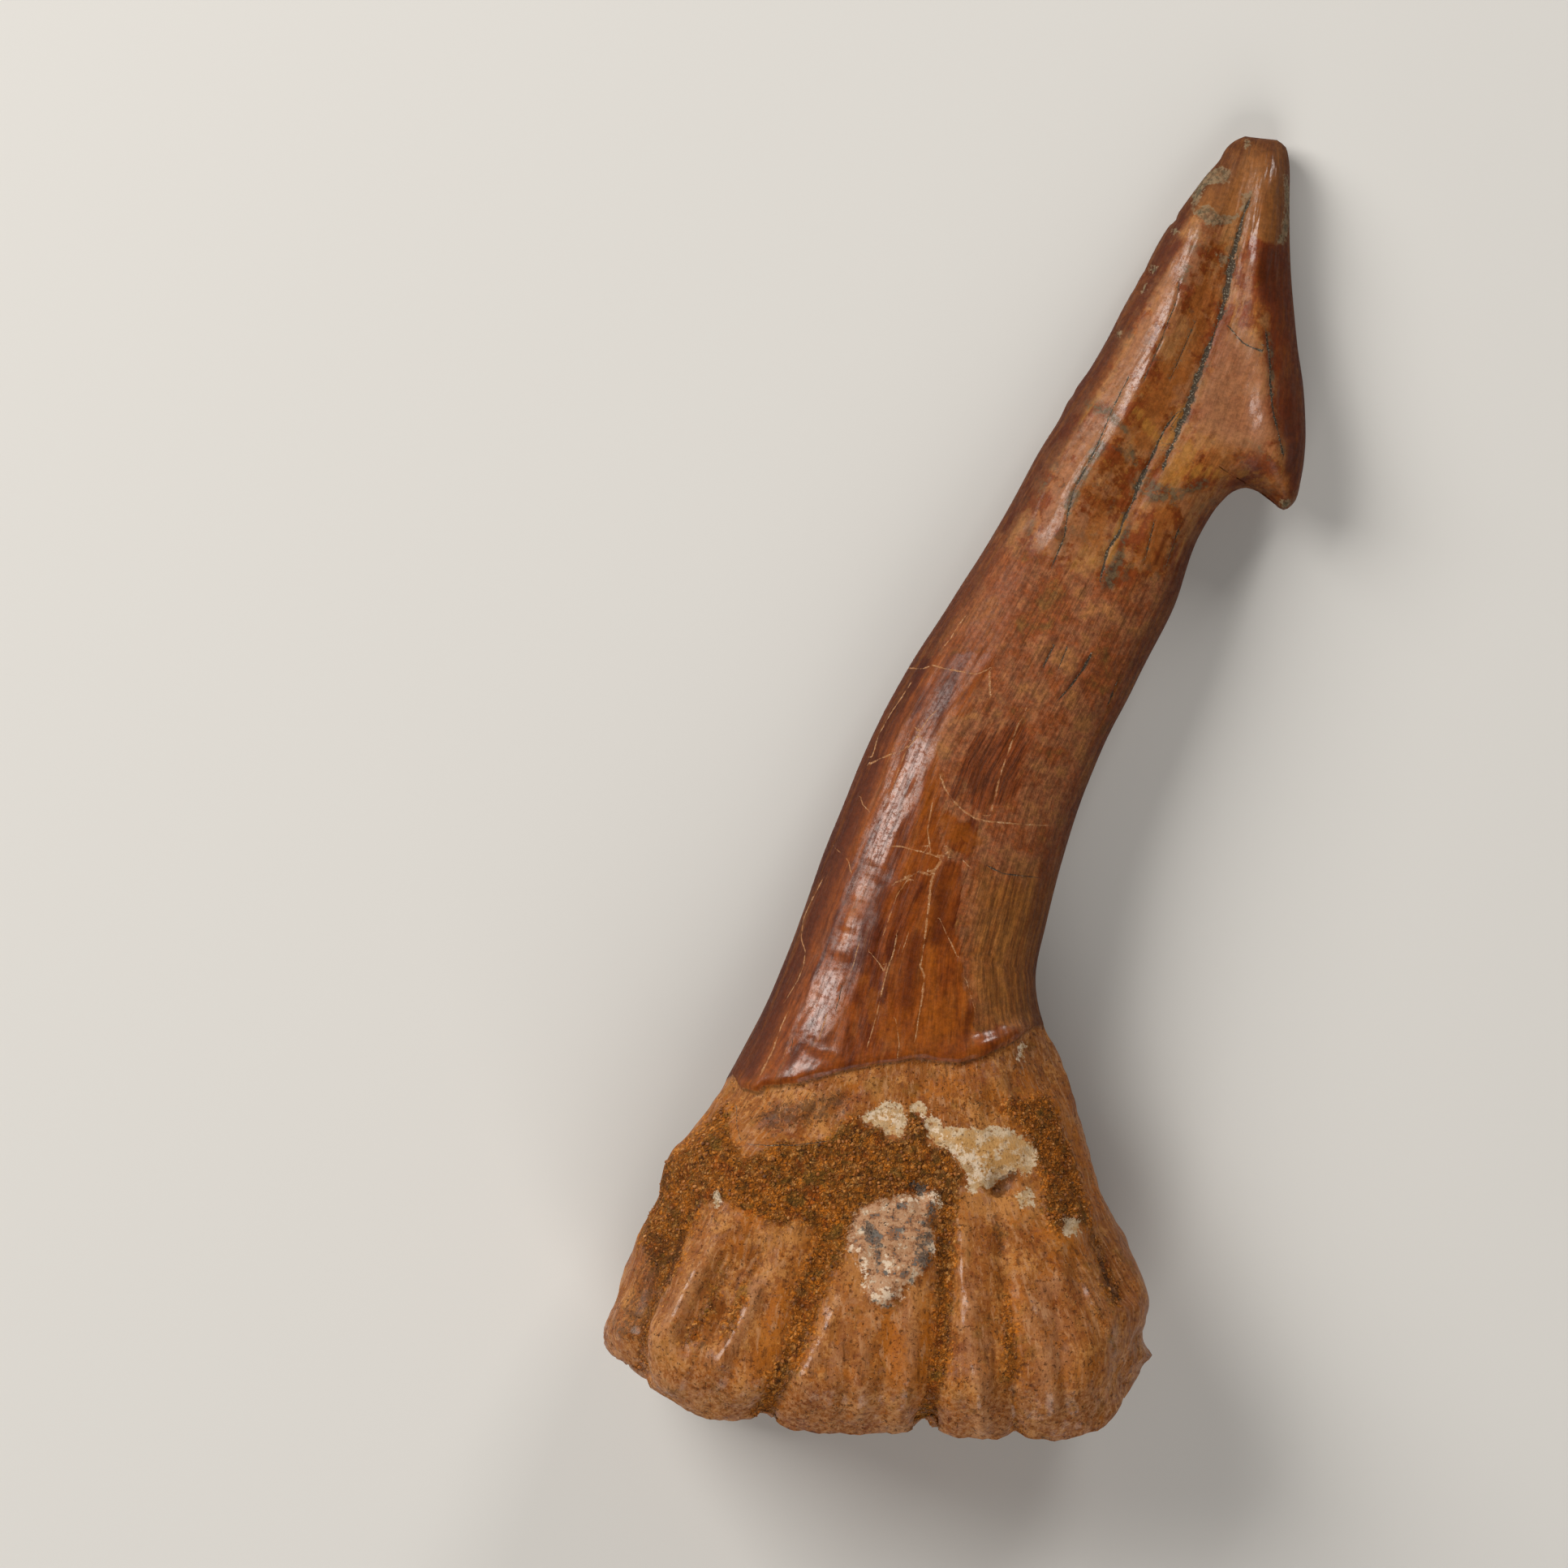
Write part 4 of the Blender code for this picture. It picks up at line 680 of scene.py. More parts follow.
def ringFaces(count, rings):
    start = np.arange(count)
    after = (start + 1) % count
    faces = []
    for ring in range(rings - 1):
        low, high = ring * count, (ring + 1) * count
        faces.append(np.stack([low + start, low + after, high + after, high + start], axis=1))
    faces = np.concatenate(faces).tolist()
    last = (rings - 1) * count
    for i in range(count // 2):  # the two ends are closed across the thickness
        corners = [i, i + 1, (count - i - 1) % count, (count - i) % count]
        corners = list(dict.fromkeys(corners))
        faces.append(corners[::-1])
        faces.append([last + corner for corner in corners])
    return faces


# Fields that the relief and the materials read: their limits in mm, and how they follow the relief
toothFields = {
    "sideLimit": 4.0, "zoneLimit": 3.0, "rimNear": (4.5, 0.5),
    "underStain": 0.35,  # what is left of a stain on the underside
    "farFromLines": 9.0, "lineLimit": 12.0, "lineNear": (0.08, 0.3),
    "onUpperFace": (0.4, 0.6),  # lines end between these shares of the upper face
    "hollowWidth": 0.8, "hollowPerDepth": -1.6, "crestPerHeight": 6.0,
    "strandReach": 6.5,  # half the width of the body, counted in strands
}


def lineHeight(x, y, path, halfWidth, height):
    distance, place, _ = nearestOnPath(x, y, path)
    return height * np.exp(-((distance / halfWidth) ** 2)) * smoothStep(place, *toothRelief["lineStart"])


def zoneReach(x, y, name):
    return np.max([insideReach(x, y, outline) for outline in zones[name]], axis=0)


def stainStrength(x, y, name):
    found = np.zeros(x.shape)
    for path, halfWidth, strength in stains[name]:
        found = np.maximum(found, strength * np.exp(-((nearestOnPath(x, y, path)[0] / halfWidth) ** 2)))
    return found


# Signed distance to the nearest line, counted in its half width, and 1 near a line, 0 away from it
def lineFields(x, y, lines):
    nearest = np.full(x.shape, toothFields["farFromLines"])
    side = np.full(x.shape, toothFields["farFromLines"])
    for path, startWidth, endWidth in lines:
        distance, place, turn = nearestOnPath(x, y, path)
        halfWidth = startWidth + (endWidth - startWidth) * place / (len(path) - 1)
        beyond = distance - halfWidth
        closer = beyond < nearest
        side = np.where(closer, turn * distance / halfWidth, side)
        nearest = np.minimum(nearest, beyond)
    limit = toothFields["lineLimit"]
    return np.clip(side, -limit, limit), 1 - smoothStep(nearest, *toothFields["lineNear"])


# Every field that the relief and the materials read, at the points of the plain body
def surfaceFields(points, upper, offSide):
    x, y, _ = points.T
    edgeTop = np.interp(x, *np.transpose(toothRelief["enamelEdgeTop"]))
    edgeUnder = np.interp(x, *np.transpose(toothRelief["enamelEdgeUnder"]))
    enamelEdge = edgeTop * upper + edgeUnder * (1 - upper)
    fields = {"enamelReach": y - enamelEdge + summedNoise(points, "enamelFray")}
    fields["sideReach"] = np.clip(offSide, 0, toothFields["sideLimit"])
    rimX, rimY = np.transpose(toothRelief["rim"])
    fields["rimNear"] = smoothStep(y - np.interp(x, rimX, rimY), *toothFields["rimNear"])
    limit = toothFields["zoneLimit"]
    for name in zones:
        fields[name + "Reach"] = np.clip(zoneReach(x, y, name), -limit, limit)
    for name in ("cream", "paleRib", "mottle", "facet", "beige"):  # these are on the upper face alone
        fields[name + "Reach"] -= limit * (1 - upper)
    faded = toothFields["underStain"]
    for name in stains:
        fields[name + "Stain"] = stainStrength(x, y, name) * (faded + (1 - faded) * upper)
    for name in ("white", "soot", "shine"):
        fields[name + "Stain"] *= upper
    for name, lines in (("dark", darkLines), ("pale", paleLines)):
        side, near = lineFields(x, y, lines)
        fields[name + "Side"] = side
        fields[name + "Near"] = near * smoothStep(upper, *toothFields["onUpperFace"])
    fields["hollow"] = np.zeros(x.shape)
    for names, onFace in (("topFlutes", upper), ("underFlutes", 1 - upper)):
        for path, halfWidth, rise in toothRelief[names]:
            depth = min(1.0, toothFields["hollowPerDepth"] * rise)
            hollow = lineHeight(x, y, path, halfWidth * toothFields["hollowWidth"], depth) * onFace
            fields["hollow"] = np.maximum(fields["hollow"], hollow)
    fields["crest"] = np.zeros(x.shape)
    for names in ("topRibs", "fineRibs"):
        for path, halfWidth, rise in toothRelief[names]:
            share = np.clip(toothFields["crestPerHeight"] * rise, 0.0, 1.0)
            fields["crest"] = np.maximum(fields["crest"], lineHeight(x, y, path, halfWidth, share) * upper)
    return fields


def reliefHeight(points, strands, upper, offSide, fields):
    x, y, _ = points.T
    height = np.zeros(len(x))
    onFaces = {
        "crownLines": 1.0, "topFlutes": upper, "topRibs": upper, "underFlutes": 1 - upper, "fineRibs": upper,
    }
    for names, onFace in onFaces.items():
        for path, halfWidth, rise in toothRelief[names]:
            height += lineHeight(x, y, path, halfWidth, rise) * onFace
    for names, onFace in (("topSpots", upper), ("underSpots", 1 - upper), ("edgeSpots", 1.0)):
        for (spotX, spotY), radius, rise in toothRelief[names]:
            height += rise * np.exp(-(((x - spotX) ** 2 + (y - spotY) ** 2) / radius**2)) * onFace
    reach = fields["enamelReach"]
    halfStep = toothRelief["enamelStepWidth"] / 2
    enamel = smoothStep(reach, -halfStep, halfStep)
    inward = smoothStep(offSide, *toothRelief["inwardEdge"])
    height += toothRelief["enamelStep"] * (enamel - 0.5) * inward
    roll = np.exp(-(((reach - toothRelief["enamelRollPlace"]) / toothRelief["enamelRollWidth"]) ** 2))
    height += toothRelief["enamelRoll"] * enamel * roll * inward
    tiltX, tiltY = toothRelief["dipTilt"]
    for (dipX, dipY), halfLength, halfWidth, depth in toothRelief["crownDips"]:
        acrossDip = (x - dipX) * tiltX - (y - dipY) * tiltY
        alongDip = (x - dipX) * tiltY + (y - dipY) * tiltX
        height += depth * np.exp(-((acrossDip / halfLength) ** 2) - (alongDip / halfWidth) ** 2) * upper
    root = 1 - enamel
    roughness = toothRelief["rootRoughness"] * root + toothRelief["crownRoughness"] * enamel
    height += summedNoise(points, "lumps") * roughness
    sandReach = fields["sandReach"] + summedNoise(points, "sandFray")
    sandy = smoothStep(sandReach, *toothRelief["sandEdge"]) * root * inward
    lumps = toothRelief["sandLumps"] * summedNoise(points, "sandLumps")
    height += sandy * (toothRelief["sandHeight"] + lumps)
    mottled = smoothStep(fields["mottleReach"], *toothRelief["mottleEdge"])
    lumps = toothRelief["mottleLumps"] * summedNoise(points, "mottleLumps")
    height += mottled * (toothRelief["mottleHeight"] + lumps)
    creamy = smoothStep(fields["creamReach"], *toothRelief["creamEdge"])
    lumps = toothRelief["creamRoughness"] * summedNoise(points, "creamLumps")
    height += creamy * (toothRelief["creamDepth"] + lumps)
    for name in ("dentineLumps", "dentineGrain"):
        height += toothRelief[name] * root * summedNoise(points, name)
    drawn = strands * np.array([1, 1, toothRelief["crownDrawnOut"]])
    grain = summedNoise(drawn, "crownGrain") * smoothStep(offSide, *toothRelief["grainEdge"])
    height += toothRelief["crownGrain"] * enamel * grain
    drawn = strands * np.array([1, 1, toothRelief["boneDrawnOut"]])
    height += toothRelief["boneStreaks"] * root * summedNoise(drawn, "boneStreaks")
    height += toothRelief["rimCrumbs"] * fields["rimNear"] ** 2 * summedNoise(points, "rimCrumbs")
    height += toothRelief["veinDepth"] * fields["darkNear"] * (np.abs(fields["darkSide"]) < 1)
    return height


def strandPlaces(points):
    x, y, z = points.T
    offAxis, reach, axisY, side = axisPlace(x, y)
    return np.stack([side * toothFields["strandReach"] * offAxis / reach, z, axisY], axis=1)


def makeTooth():
    coarser = 1.0
    points, upper, reliefShare, offSide, count, rings = bodyPoints(coarser)
    mesh = bpy.data.meshes.new("fossilTooth")
    mesh.from_pydata(points.tolist(), [], ringFaces(count, rings))
    mesh.update()
    normals = np.zeros(len(points) * 3)
    mesh.vertices.foreach_get("normal", normals)
    fields = surfaceFields(points, upper, offSide)
    strands = strandPlaces(points)
    height = reliefHeight(points, strands, upper, offSide, fields) * reliefShare
    points = points + normals.reshape(-1, 3) * height[:, None]
    points[:, 2] += toothShape["midHeightAtRoot"]
    points[:, 2] += toothShape["midSlope"] * (points[:, 1] - toothShape["outline"][0][0][1])
    points[:, 2] = np.maximum(points[:, 2], toothShape["wornFlat"]) - toothShape["wornFlat"]
    shift = boxCentre() - (points.max(axis=0) + points.min(axis=0))[:2] / 2
    points[:, :2] += shift
    mesh.vertices.foreach_set("co", (points * toMetres).ravel())
    mesh.update()
    mesh.shade_smooth()
    for name, values in fields.items():
        mesh.attributes.new(name, "FLOAT", "POINT").data.foreach_set("value", values.astype(np.float32))
    mesh.attributes.new("strands", "FLOAT_VECTOR", "POINT").data.foreach_set(
        "vector", strands.astype(np.float32).ravel()
    )
    tooth = bpy.data.objects.new("fossil_tooth", mesh)
    bpy.context.scene.collection.objects.link(tooth)
    return tooth, shift


def boxCentre():
    low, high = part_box("rostral_tooth")
    return np.array([(low.x + high.x) / 2, (low.y + high.y) / 2]) / toMetres


tooth, toothShift = makeTooth()
print("tooth shaped:", len(tooth.data.vertices), "points")


# A new node. A socket or a plain value goes into any input
def addNode(tree, kind, inputs=None, **settings):
    made = tree.nodes.new(kind)
    for name, value in settings.items():
        setattr(made, name, value)
    for socket, value in (inputs or {}).items():
        if isinstance(value, bpy.types.NodeSocket):
            tree.links.new(value, made.inputs[socket])
        else:
            made.inputs[socket].default_value = value
    return made


# A new node in the tree of the sockets that go into it
def nodeAfter(kind, inputs, **settings):
    tree = next(value.id_data for value in inputs.values() if isinstance(value, bpy.types.NodeSocket))
    return addNode(tree, kind, inputs, **settings)


def maths(operation, first, second=0.0, clamp=False):
    return nodeAfter("ShaderNodeMath", {0: first, 1: second}, operation=operation, use_clamp=clamp).outputs[0]


def joined(operation, first, others):
    for other in others:
        first = maths(operation, first, other)
    return first


def times(first, *others):
    return joined("MULTIPLY", first, others)


def plus(first, *others):
    return joined("ADD", first, others)


def minus(first, *others):
    return joined("SUBTRACT", first, others)


def larger(first, *others):
    return joined("MAXIMUM", first, others)


def fade(value, low, high, fromValue=0.0, toValue=1.0):
    inputs = {"Value": value, "From Min": low, "From Max": high, "To Min": fromValue, "To Max": toValue}
    return nodeAfter("ShaderNodeMapRange", inputs, interpolation_type="SMOOTHSTEP").outputs[0]


def mixColour(share, under, over, mode="MIX"):
    made = nodeAfter("ShaderNodeMix", {0: share, 6: under, 7: over}, data_type="RGBA", blend_type=mode)
    return made.outputs[2]


def mixValue(share, under, over):
    return nodeAfter("ShaderNodeMix", {0: share, 2: under, 3: over}, data_type="FLOAT").outputs[0]


def cloudy(place, scale, detail=3.0, roughness=0.55, warp=0.0):
    inputs = {"Vector": place, "Scale": scale, "Detail": detail, "Roughness": roughness, "Distortion": warp}
    return nodeAfter("ShaderNodeTexNoise", inputs).outputs[0]


def colourRamp(value, stops):
    made = nodeAfter("ShaderNodeValToRGB", {0: value})
    while len(made.color_ramp.elements) < len(stops):
        made.color_ramp.elements.new(0.5)
    for element, (position, name) in zip(made.color_ramp.elements, stops):
        element.position = position
        element.color = colour[name]
    return made.outputs[0]


# Lightens and darkens a colour by a pattern, between two factors
def shaded(shown, pattern, low, high, darkest, lightest):
    factor = fade(pattern, low, high, darkest, lightest)
    grey = nodeAfter("ShaderNodeCombineColor", {0: factor, 1: factor, 2: factor}).outputs[0]
    return mixColour(1.0, shown, grey, "MULTIPLY")


def vectorMaths(operation, first, second):
    return nodeAfter("ShaderNodeVectorMath", {0: first, 1: second}, operation=operation).outputs[0]


def scaled(place, factors):
    return vectorMaths("MULTIPLY", place, factors)


def field(tree, name):
    return addNode(tree, "ShaderNodeAttribute", attribute_name=name).outputs["Fac"]


def millimetres(tree):
    place = addNode(tree, "ShaderNodeTexCoord").outputs["Object"]
    return scaled(place, (1 / toMetres, 1 / toMetres, 1 / toMetres))


def newGroup(name, inputs, outputs):
    group = bpy.data.node_groups.new(name, "ShaderNodeTree")
    for label, kind, value in inputs:
        socket = group.interface.new_socket(label, in_out="INPUT", socket_type="NodeSocket" + kind)
        if value is not None:
            socket.default_value = value
    for label in outputs:
        group.interface.new_socket(label, in_out="OUTPUT", socket_type="NodeSocketFloat")
    return group, group.nodes.new("NodeGroupInput").outputs, group.nodes.new("NodeGroupOutput").inputs


def useGroup(group, **inputs):
    return nodeAfter("ShaderNodeGroup", inputs, node_tree=group).outputs


# Mask of a zone whose border is frayed by a pattern
def makeFrayedZone():
    group, given, result = newGroup(
        "frayedZone",
        (("Reach", "Float", 0.0), ("Pattern", "Float", 0.5), ("Fray", "Float", 0.2),
         ("Softness", "Float", 0.06)),
        ("Mask",),
    )
    wander = minus(given["Pattern"], 0.5)
    wander = times(wander, times(given["Fray"], 4.0))
    reach = plus(given["Reach"], wander)
    mask = fade(reach, times(given["Softness"], -1.0), given["Softness"])
    group.links.new(mask, result["Mask"])
    return group


# Long fibres that run with the tooth: strands are packed across and stretched along
def makeFibres():
    group, given, result = newGroup(
        "fibres",
        (("Strands", "Vector", None), ("Fineness", "Float", 3.0), ("Length", "Float", 0.08),
         ("Contrast", "Float", 2.0)),
        ("Streaks",),
    )
    length = nodeAfter("ShaderNodeCombineXYZ", {0: 1.0, 1: 1.0, 2: given["Length"]}).outputs[0]
    stretched = scaled(given["Strands"], length)
    streaks = cloudy(stretched, given["Fineness"], 4.0, 0.6, 0.2)
    streaks = times(minus(streaks, 0.5), given["Contrast"])
    group.links.new(maths("ADD", streaks, 0.5, clamp=True), result["Streaks"])
    return group


# Packed grains: a tone for each grain, and its height with gaps between
def makeGrit():
    group, given, result = newGroup(
        "grit",
        (("Place", "Vector", None), ("Grain", "Float", 0.3), ("Seed", "Float", 0.0)),
        ("Tone", "Height"),
    )
    inputs = {"Vector": given["Place"], "Scale": 3.0, "Detail": 1.0}
    wobble = nodeAfter("ShaderNodeTexNoise", inputs).outputs[1]
    wobble = scaled(wobble, (0.5, 0.5, 0.5))
    place = vectorMaths("ADD", vectorMaths("ADD", given["Place"], wobble), given["Seed"])
    cells = nodeAfter(
        "ShaderNodeTexVoronoi",
        {"Vector": place, "Scale": maths("DIVIDE", 1.0, given["Grain"]), "Randomness": 1.0},
    ).outputs
    tone = nodeAfter("ShaderNodeSeparateColor", {0: cells["Color"]}).outputs[0]
    group.links.new(tone, result["Tone"])
    group.links.new(fade(cells["Distance"], 0.75, 0.1), result["Height"])
    return group


# Scattered blots: noise cut at a threshold
def makeBlots():
    group, given, result = newGroup(
        "blots",
        (("Place", "Vector", None), ("Size", "Float", 1.0), ("Cover", "Float", 0.3), ("Seed", "Float", 0.0)),
        ("Mask",),
    )
    place = vectorMaths("ADD", given["Place"], given["Seed"])
    clouds = cloudy(place, maths("DIVIDE", 1.0, given["Size"]), 4.0, 0.72)
    start = minus(0.72, times(given["Cover"], 0.3))
    group.links.new(fade(clouds, start, plus(start, 0.07)), result["Mask"])
    return group


# A thin line from its signed distance, with an uneven edge and gaps
def makeHairLine():
    group, given, result = newGroup(
        "hairLine",
        (("Side", "Float", 9.0), ("Near", "Float", 0.0), ("Place", "Vector", None), ("Wander", "Float", 0.8),
         ("Fineness", "Float", 3.5), ("Gaps", "Float", 0.3), ("Width", "Float", 1.0)),
        ("Line",),
    )
    wander = minus(cloudy(given["Place"], given["Fineness"], 4.0, 0.65), 0.5)
    wander = times(wander, times(given["Wander"], 2.0))
    off = maths("ABSOLUTE", plus(given["Side"], wander))
    breaks = cloudy(given["Place"], 1.7, 3.0, 0.6)
    reach = times(fade(breaks, 0.34, 0.64, 0.45, 1.45), given["Width"])
    line = fade(off, reach, times(reach, 0.5))
    kept = fade(breaks, given["Gaps"], plus(given["Gaps"], 0.18))
    near = times(fade(given["Near"], 0.3, 0.8), kept)
    group.links.new(times(line, near), result["Line"])
    return group


frayedZone = makeFrayedZone()
fibres = makeFibres()
grit = makeGrit()
blots = makeBlots()
hairLine = makeHairLine()

# The finish. Of a pair of heights, the first is for dull enamel or bare bone and the second is for
# polished enamel or sand.
toothFinish = {
    "colours": {
        "glossDark": (0.075, 0.013, 0.002), "glossMid": (0.170, 0.037, 0.004),
        "glossWarm": (0.225, 0.058, 0.005), "matteRed": (0.180, 0.044, 0.010),
        "matteTan": (0.240, 0.094, 0.028), "matteGreen": (0.150, 0.062, 0.014),
        "matteDark": (0.085, 0.022, 0.004), "mattePink": (0.205, 0.070, 0.027),
        "island": (0.092, 0.018, 0.002), "fibreTan": (0.235, 0.088, 0.016),
        "fibreDark": (0.150, 0.046, 0.007), "headBrown": (0.140, 0.034, 0.005),
        "headRed": (0.190, 0.042, 0.008), "headOrange": (0.240, 0.074, 0.014),
        "headPink": (0.262, 0.108, 0.048), "redSide": (0.120, 0.019, 0.002),
        "tipOchre": (0.205, 0.076, 0.018), "beige": (0.205, 0.138, 0.076), "ochre": (0.320, 0.140, 0.024),
        "edgeRedShaded": (0.045, 0.007, 0.001), "edgeTanShaded": (0.095, 0.026, 0.003),
        "dentine": (0.240, 0.074, 0.010), "dentineRed": (0.175, 0.043, 0.005),
        "dentinePale": (0.400, 0.165, 0.040), "dentineDark": (0.090, 0.028, 0.005),
        "rootOrange": (0.340, 0.098, 0.006), "rootPink": (0.255, 0.098, 0.038),
        "rootPaleAndSheen": (0.410, 0.205, 0.092), "sandDark": (0.055, 0.018, 0.003),
        "sandBrown": (0.155, 0.046, 0.006), "sandOchre": (0.270, 0.088, 0.008),
        "sandOlive": (0.165, 0.080, 0.012), "sandPale": (0.480, 0.220, 0.060),
        "sandRust": (0.240, 0.050, 0.004), "cream": (0.425, 0.285, 0.152),
        "creamTan": (0.440, 0.235, 0.078), "creamWhite": (0.550, 0.420, 0.285),
        "mottlePink": (0.390, 0.210, 0.110), "mottleRust": (0.250, 0.096, 0.034),
        "mottlePale": (0.500, 0.378, 0.262), "white": (0.640, 0.500, 0.365),
        "slate": (0.125, 0.105, 0.088), "soot": (0.034, 0.030, 0.026), "vein": (0.032, 0.027, 0.019),
        "veinGrey": (0.160, 0.138, 0.098), "veinPale": (0.420, 0.360, 0.280),
        "greyGreen": (0.078, 0.062, 0.034), "crackPale": (0.330, 0.150, 0.056),
        "crackBright": (0.520, 0.330, 0.190), "darkStain": (0.055, 0.017, 0.003),
        "coatTint": (1.0, 0.93, 0.86),
    },
    "enamelBorder": (-0.05, 0.03),
    "roughGloss": 0.4, "roughMatte": 0.6, "roughRoot": 0.5, "roughSand": 0.85, "roughCream": 0.75,
    "roughSpread": (-0.08, 0.13), "scuffs": (3.5, 5.0, 0.8),
    "specular": 0.14, "coatRoughness": 0.18,
    "partPolish": {"island": 0.4, "polished": 0.5, "head": 0.7},
    "leastShine": 0.12, "scuffedShine": 0.2, "streakedShine": 0.35,
    "crestShine": (0.08, 0.55), "rimShine": 0.45,
    # heights of the bump in mm
    "grainHeight": 0.1, "rootPits": (0.045, 0.15), "speckDepth": 0.05, "rootScratches": 0.03,
    "crownScratches": (0.035, 0.014), "crownPits": (0.04, 0.016),
    "sandGrain": 0.2,
    "darkLine": {"Wander": 0.6, "Fineness": 9.0, "Gaps": 0.14, "Width": 1.0},
    "paleLine": {"Wander": 0.9, "Fineness": 4.0, "Gaps": 0.33, "Width": 0.85},
    # patterns that the colours, borders and gloss share, from the coarsest to the finest:
    # scale, detail and roughness
    "clouds": {
        "patches": (0.5, 5.0, 0.62), "smaller": (1.3, 5.0, 0.7), "fine": (3.4, 4.0, 0.75),
        "dusty": (9.0, 2.0, 0.7),
    },
    "drawnClouds": (1.4, 4.0, 0.7), "drawnOut": 0.3,  # these are drawn out along the tooth
    # fineness, length and contrast
    "streaks": {"slow": (0.8, 0.16, 2.4), "middle": (2.6, 0.10, 2.4), "quick": (6.5, 0.07, 2.4)},
    # size, cover and seed
    "blots": {
        "olive": (1.6, 0.5, 51.0), "rust": (1.2, 0.55, 3.0), "brown": (0.65, 0.5, 21.0),
        "pale": (0.4, 0.46, 27.0), "specks": (0.23, 0.42, 24.0),
    },
    # borders of the zones: the pattern that frays them, how much, and how soft they are
    "borders": {
        "cream": ("crusty", 0.6, 0.05), "mottle": ("jagged", 0.7, 0.12), "paleRib": ("smaller", 0.5, 0.4),
        "gloss": ("drawn", 0.5, 0.12), "island": ("drawn", 1.0, 0.3), "polished": ("drawn", 0.8, 0.6),
        "fibrous": ("drawn", 0.9, 1.4), "head": ("drawn", 0.7, 0.5), "facet": ("smaller", 0.4, 0.5),
        "redSide": ("drawn", 0.6, 0.6), "tip": ("smaller", 0.25, 0.1), "beige": ("fine", 0.24, 0.06),
        "sand": ("jagged", 1.0, 0.22),
    },
}
colour = {name: (*value, 1.0) for name, value in toothFinish["colours"].items()}


def zoneMask(name, pattern, fray, softness):
    reach = field(pattern.id_data, name + "Reach")
    return useGroup(frayedZone, Reach=reach, Pattern=pattern, Fray=fray, Softness=softness)["Mask"]


def blot(place, size, cover, seed):
    return useGroup(blots, Place=place, Size=size, Cover=cover, Seed=seed)["Mask"]


def streak(strands, fineness, length, contrast):
    return useGroup(fibres, Strands=strands, Fineness=fineness, Length=length, Contrast=contrast)["Streaks"]


# Adds a named colour where a mask says so
def stained(shown, mask, strength, name):
    return mixColour(times(mask, strength), shown, colour[name])


# Adds colours one over the other: rows of mask, strength and name
def layered(shown, layers):
    for mask, strength, name in layers:
        shown = stained(shown, mask, strength, name)
    return shown


# A soft stain cut to an uneven shape by a noise pattern
def ragged(name, pattern, low=0.4, high=0.62, breaks=5.0):
    uneven = times(minus(pattern, 0.5), breaks)
    reach = times(field(pattern.id_data, name + "Stain"), plus(uneven, 1.0))
    return fade(reach, low, high)


def makePatterns(place, strands):
    patterns = {name: cloudy(place, *shape) for name, shape in toothFinish["clouds"].items()}
    drawn = scaled(strands, (1.0, 1.0, toothFinish["drawnOut"]))
    patterns["drawn"] = cloudy(drawn, *toothFinish["drawnClouds"])
    patterns["crusty"] = mixValue(0.35, patterns["smaller"], patterns["fine"])
    patterns["jagged"] = mixValue(0.5, patterns["smaller"], patterns["fine"])
    patterns.update({name: streak(strands, *shape) for name, shape in toothFinish["streaks"].items()})
    patterns.update({name: blot(place, *shape) for name, shape in toothFinish["blots"].items()})
    return patterns


# Bare bone: mottled, streaked along the ribs, with a painted sheen (a paler colour) on the crests and dark
# pits
def boneColours(tree, patterns, masks):
    fine, middle = patterns["fine"], patterns["middle"]
    shown = colourRamp(mixValue(0.45, patterns["patches"], fine), (
        (0.40, "dentineRed"), (0.46, "dentine"), (0.51, "dentine"), (0.57, "dentinePale"),
    ))
    shown = layered(shown, (
        (fade(middle, 0.5, 0.95), 0.45, "dentineRed"),
        (fade(middle, 0.42, 0.05), 0.35, "dentinePale"),
        (masks["paleRib"], 0.7, "dentinePale"),
        # pink along the rib crests: partly painted sheen
        (ragged("pinkAndSheen", patterns["patches"], 0.25, 0.7), 0.7, "rootPink"),
        (ragged("orange", fine, 0.2, 0.75), 0.75, "rootOrange"),
        (patterns["rust"], 0.6, "rootOrange"),
        (patterns["brown"], 0.7, "rootPink"),
        (patterns["pale"], 0.6, "dentinePale"),
        (patterns["olive"], 0.35, "sandOlive"),
    ))
    # paler colour on the rib crests: painted sheen
    crestSheen = times(field(tree, "crest"), fade(mixValue(0.5, fine, middle), 0.3, 0.65))
    shown = stained(shown, crestSheen, 0.5, "rootPaleAndSheen")
    # the rim is paler: partly wear, partly painted sheen
    rimWearAndSheen = times(field(tree, "rimNear"), fade(fine, 0.42, 0.66))
    shown = layered(shown, (
        (rimWearAndSheen, 0.6, "rootPaleAndSheen"),
        (fade(patterns["quick"], 0.58, 0.9), 0.6, "rootPaleAndSheen"),
        (fade(patterns["quick"], 0.36, 0.1), 0.6, "dentineDark"),
        (fade(fine, 0.42, 0.32), 0.6, "dentineDark"),
        (patterns["specks"], 0.7, "dentineDark"),
    ))
    return shaded(shown, patterns["dusty"], 0.25, 0.75, 0.92, 1.1)


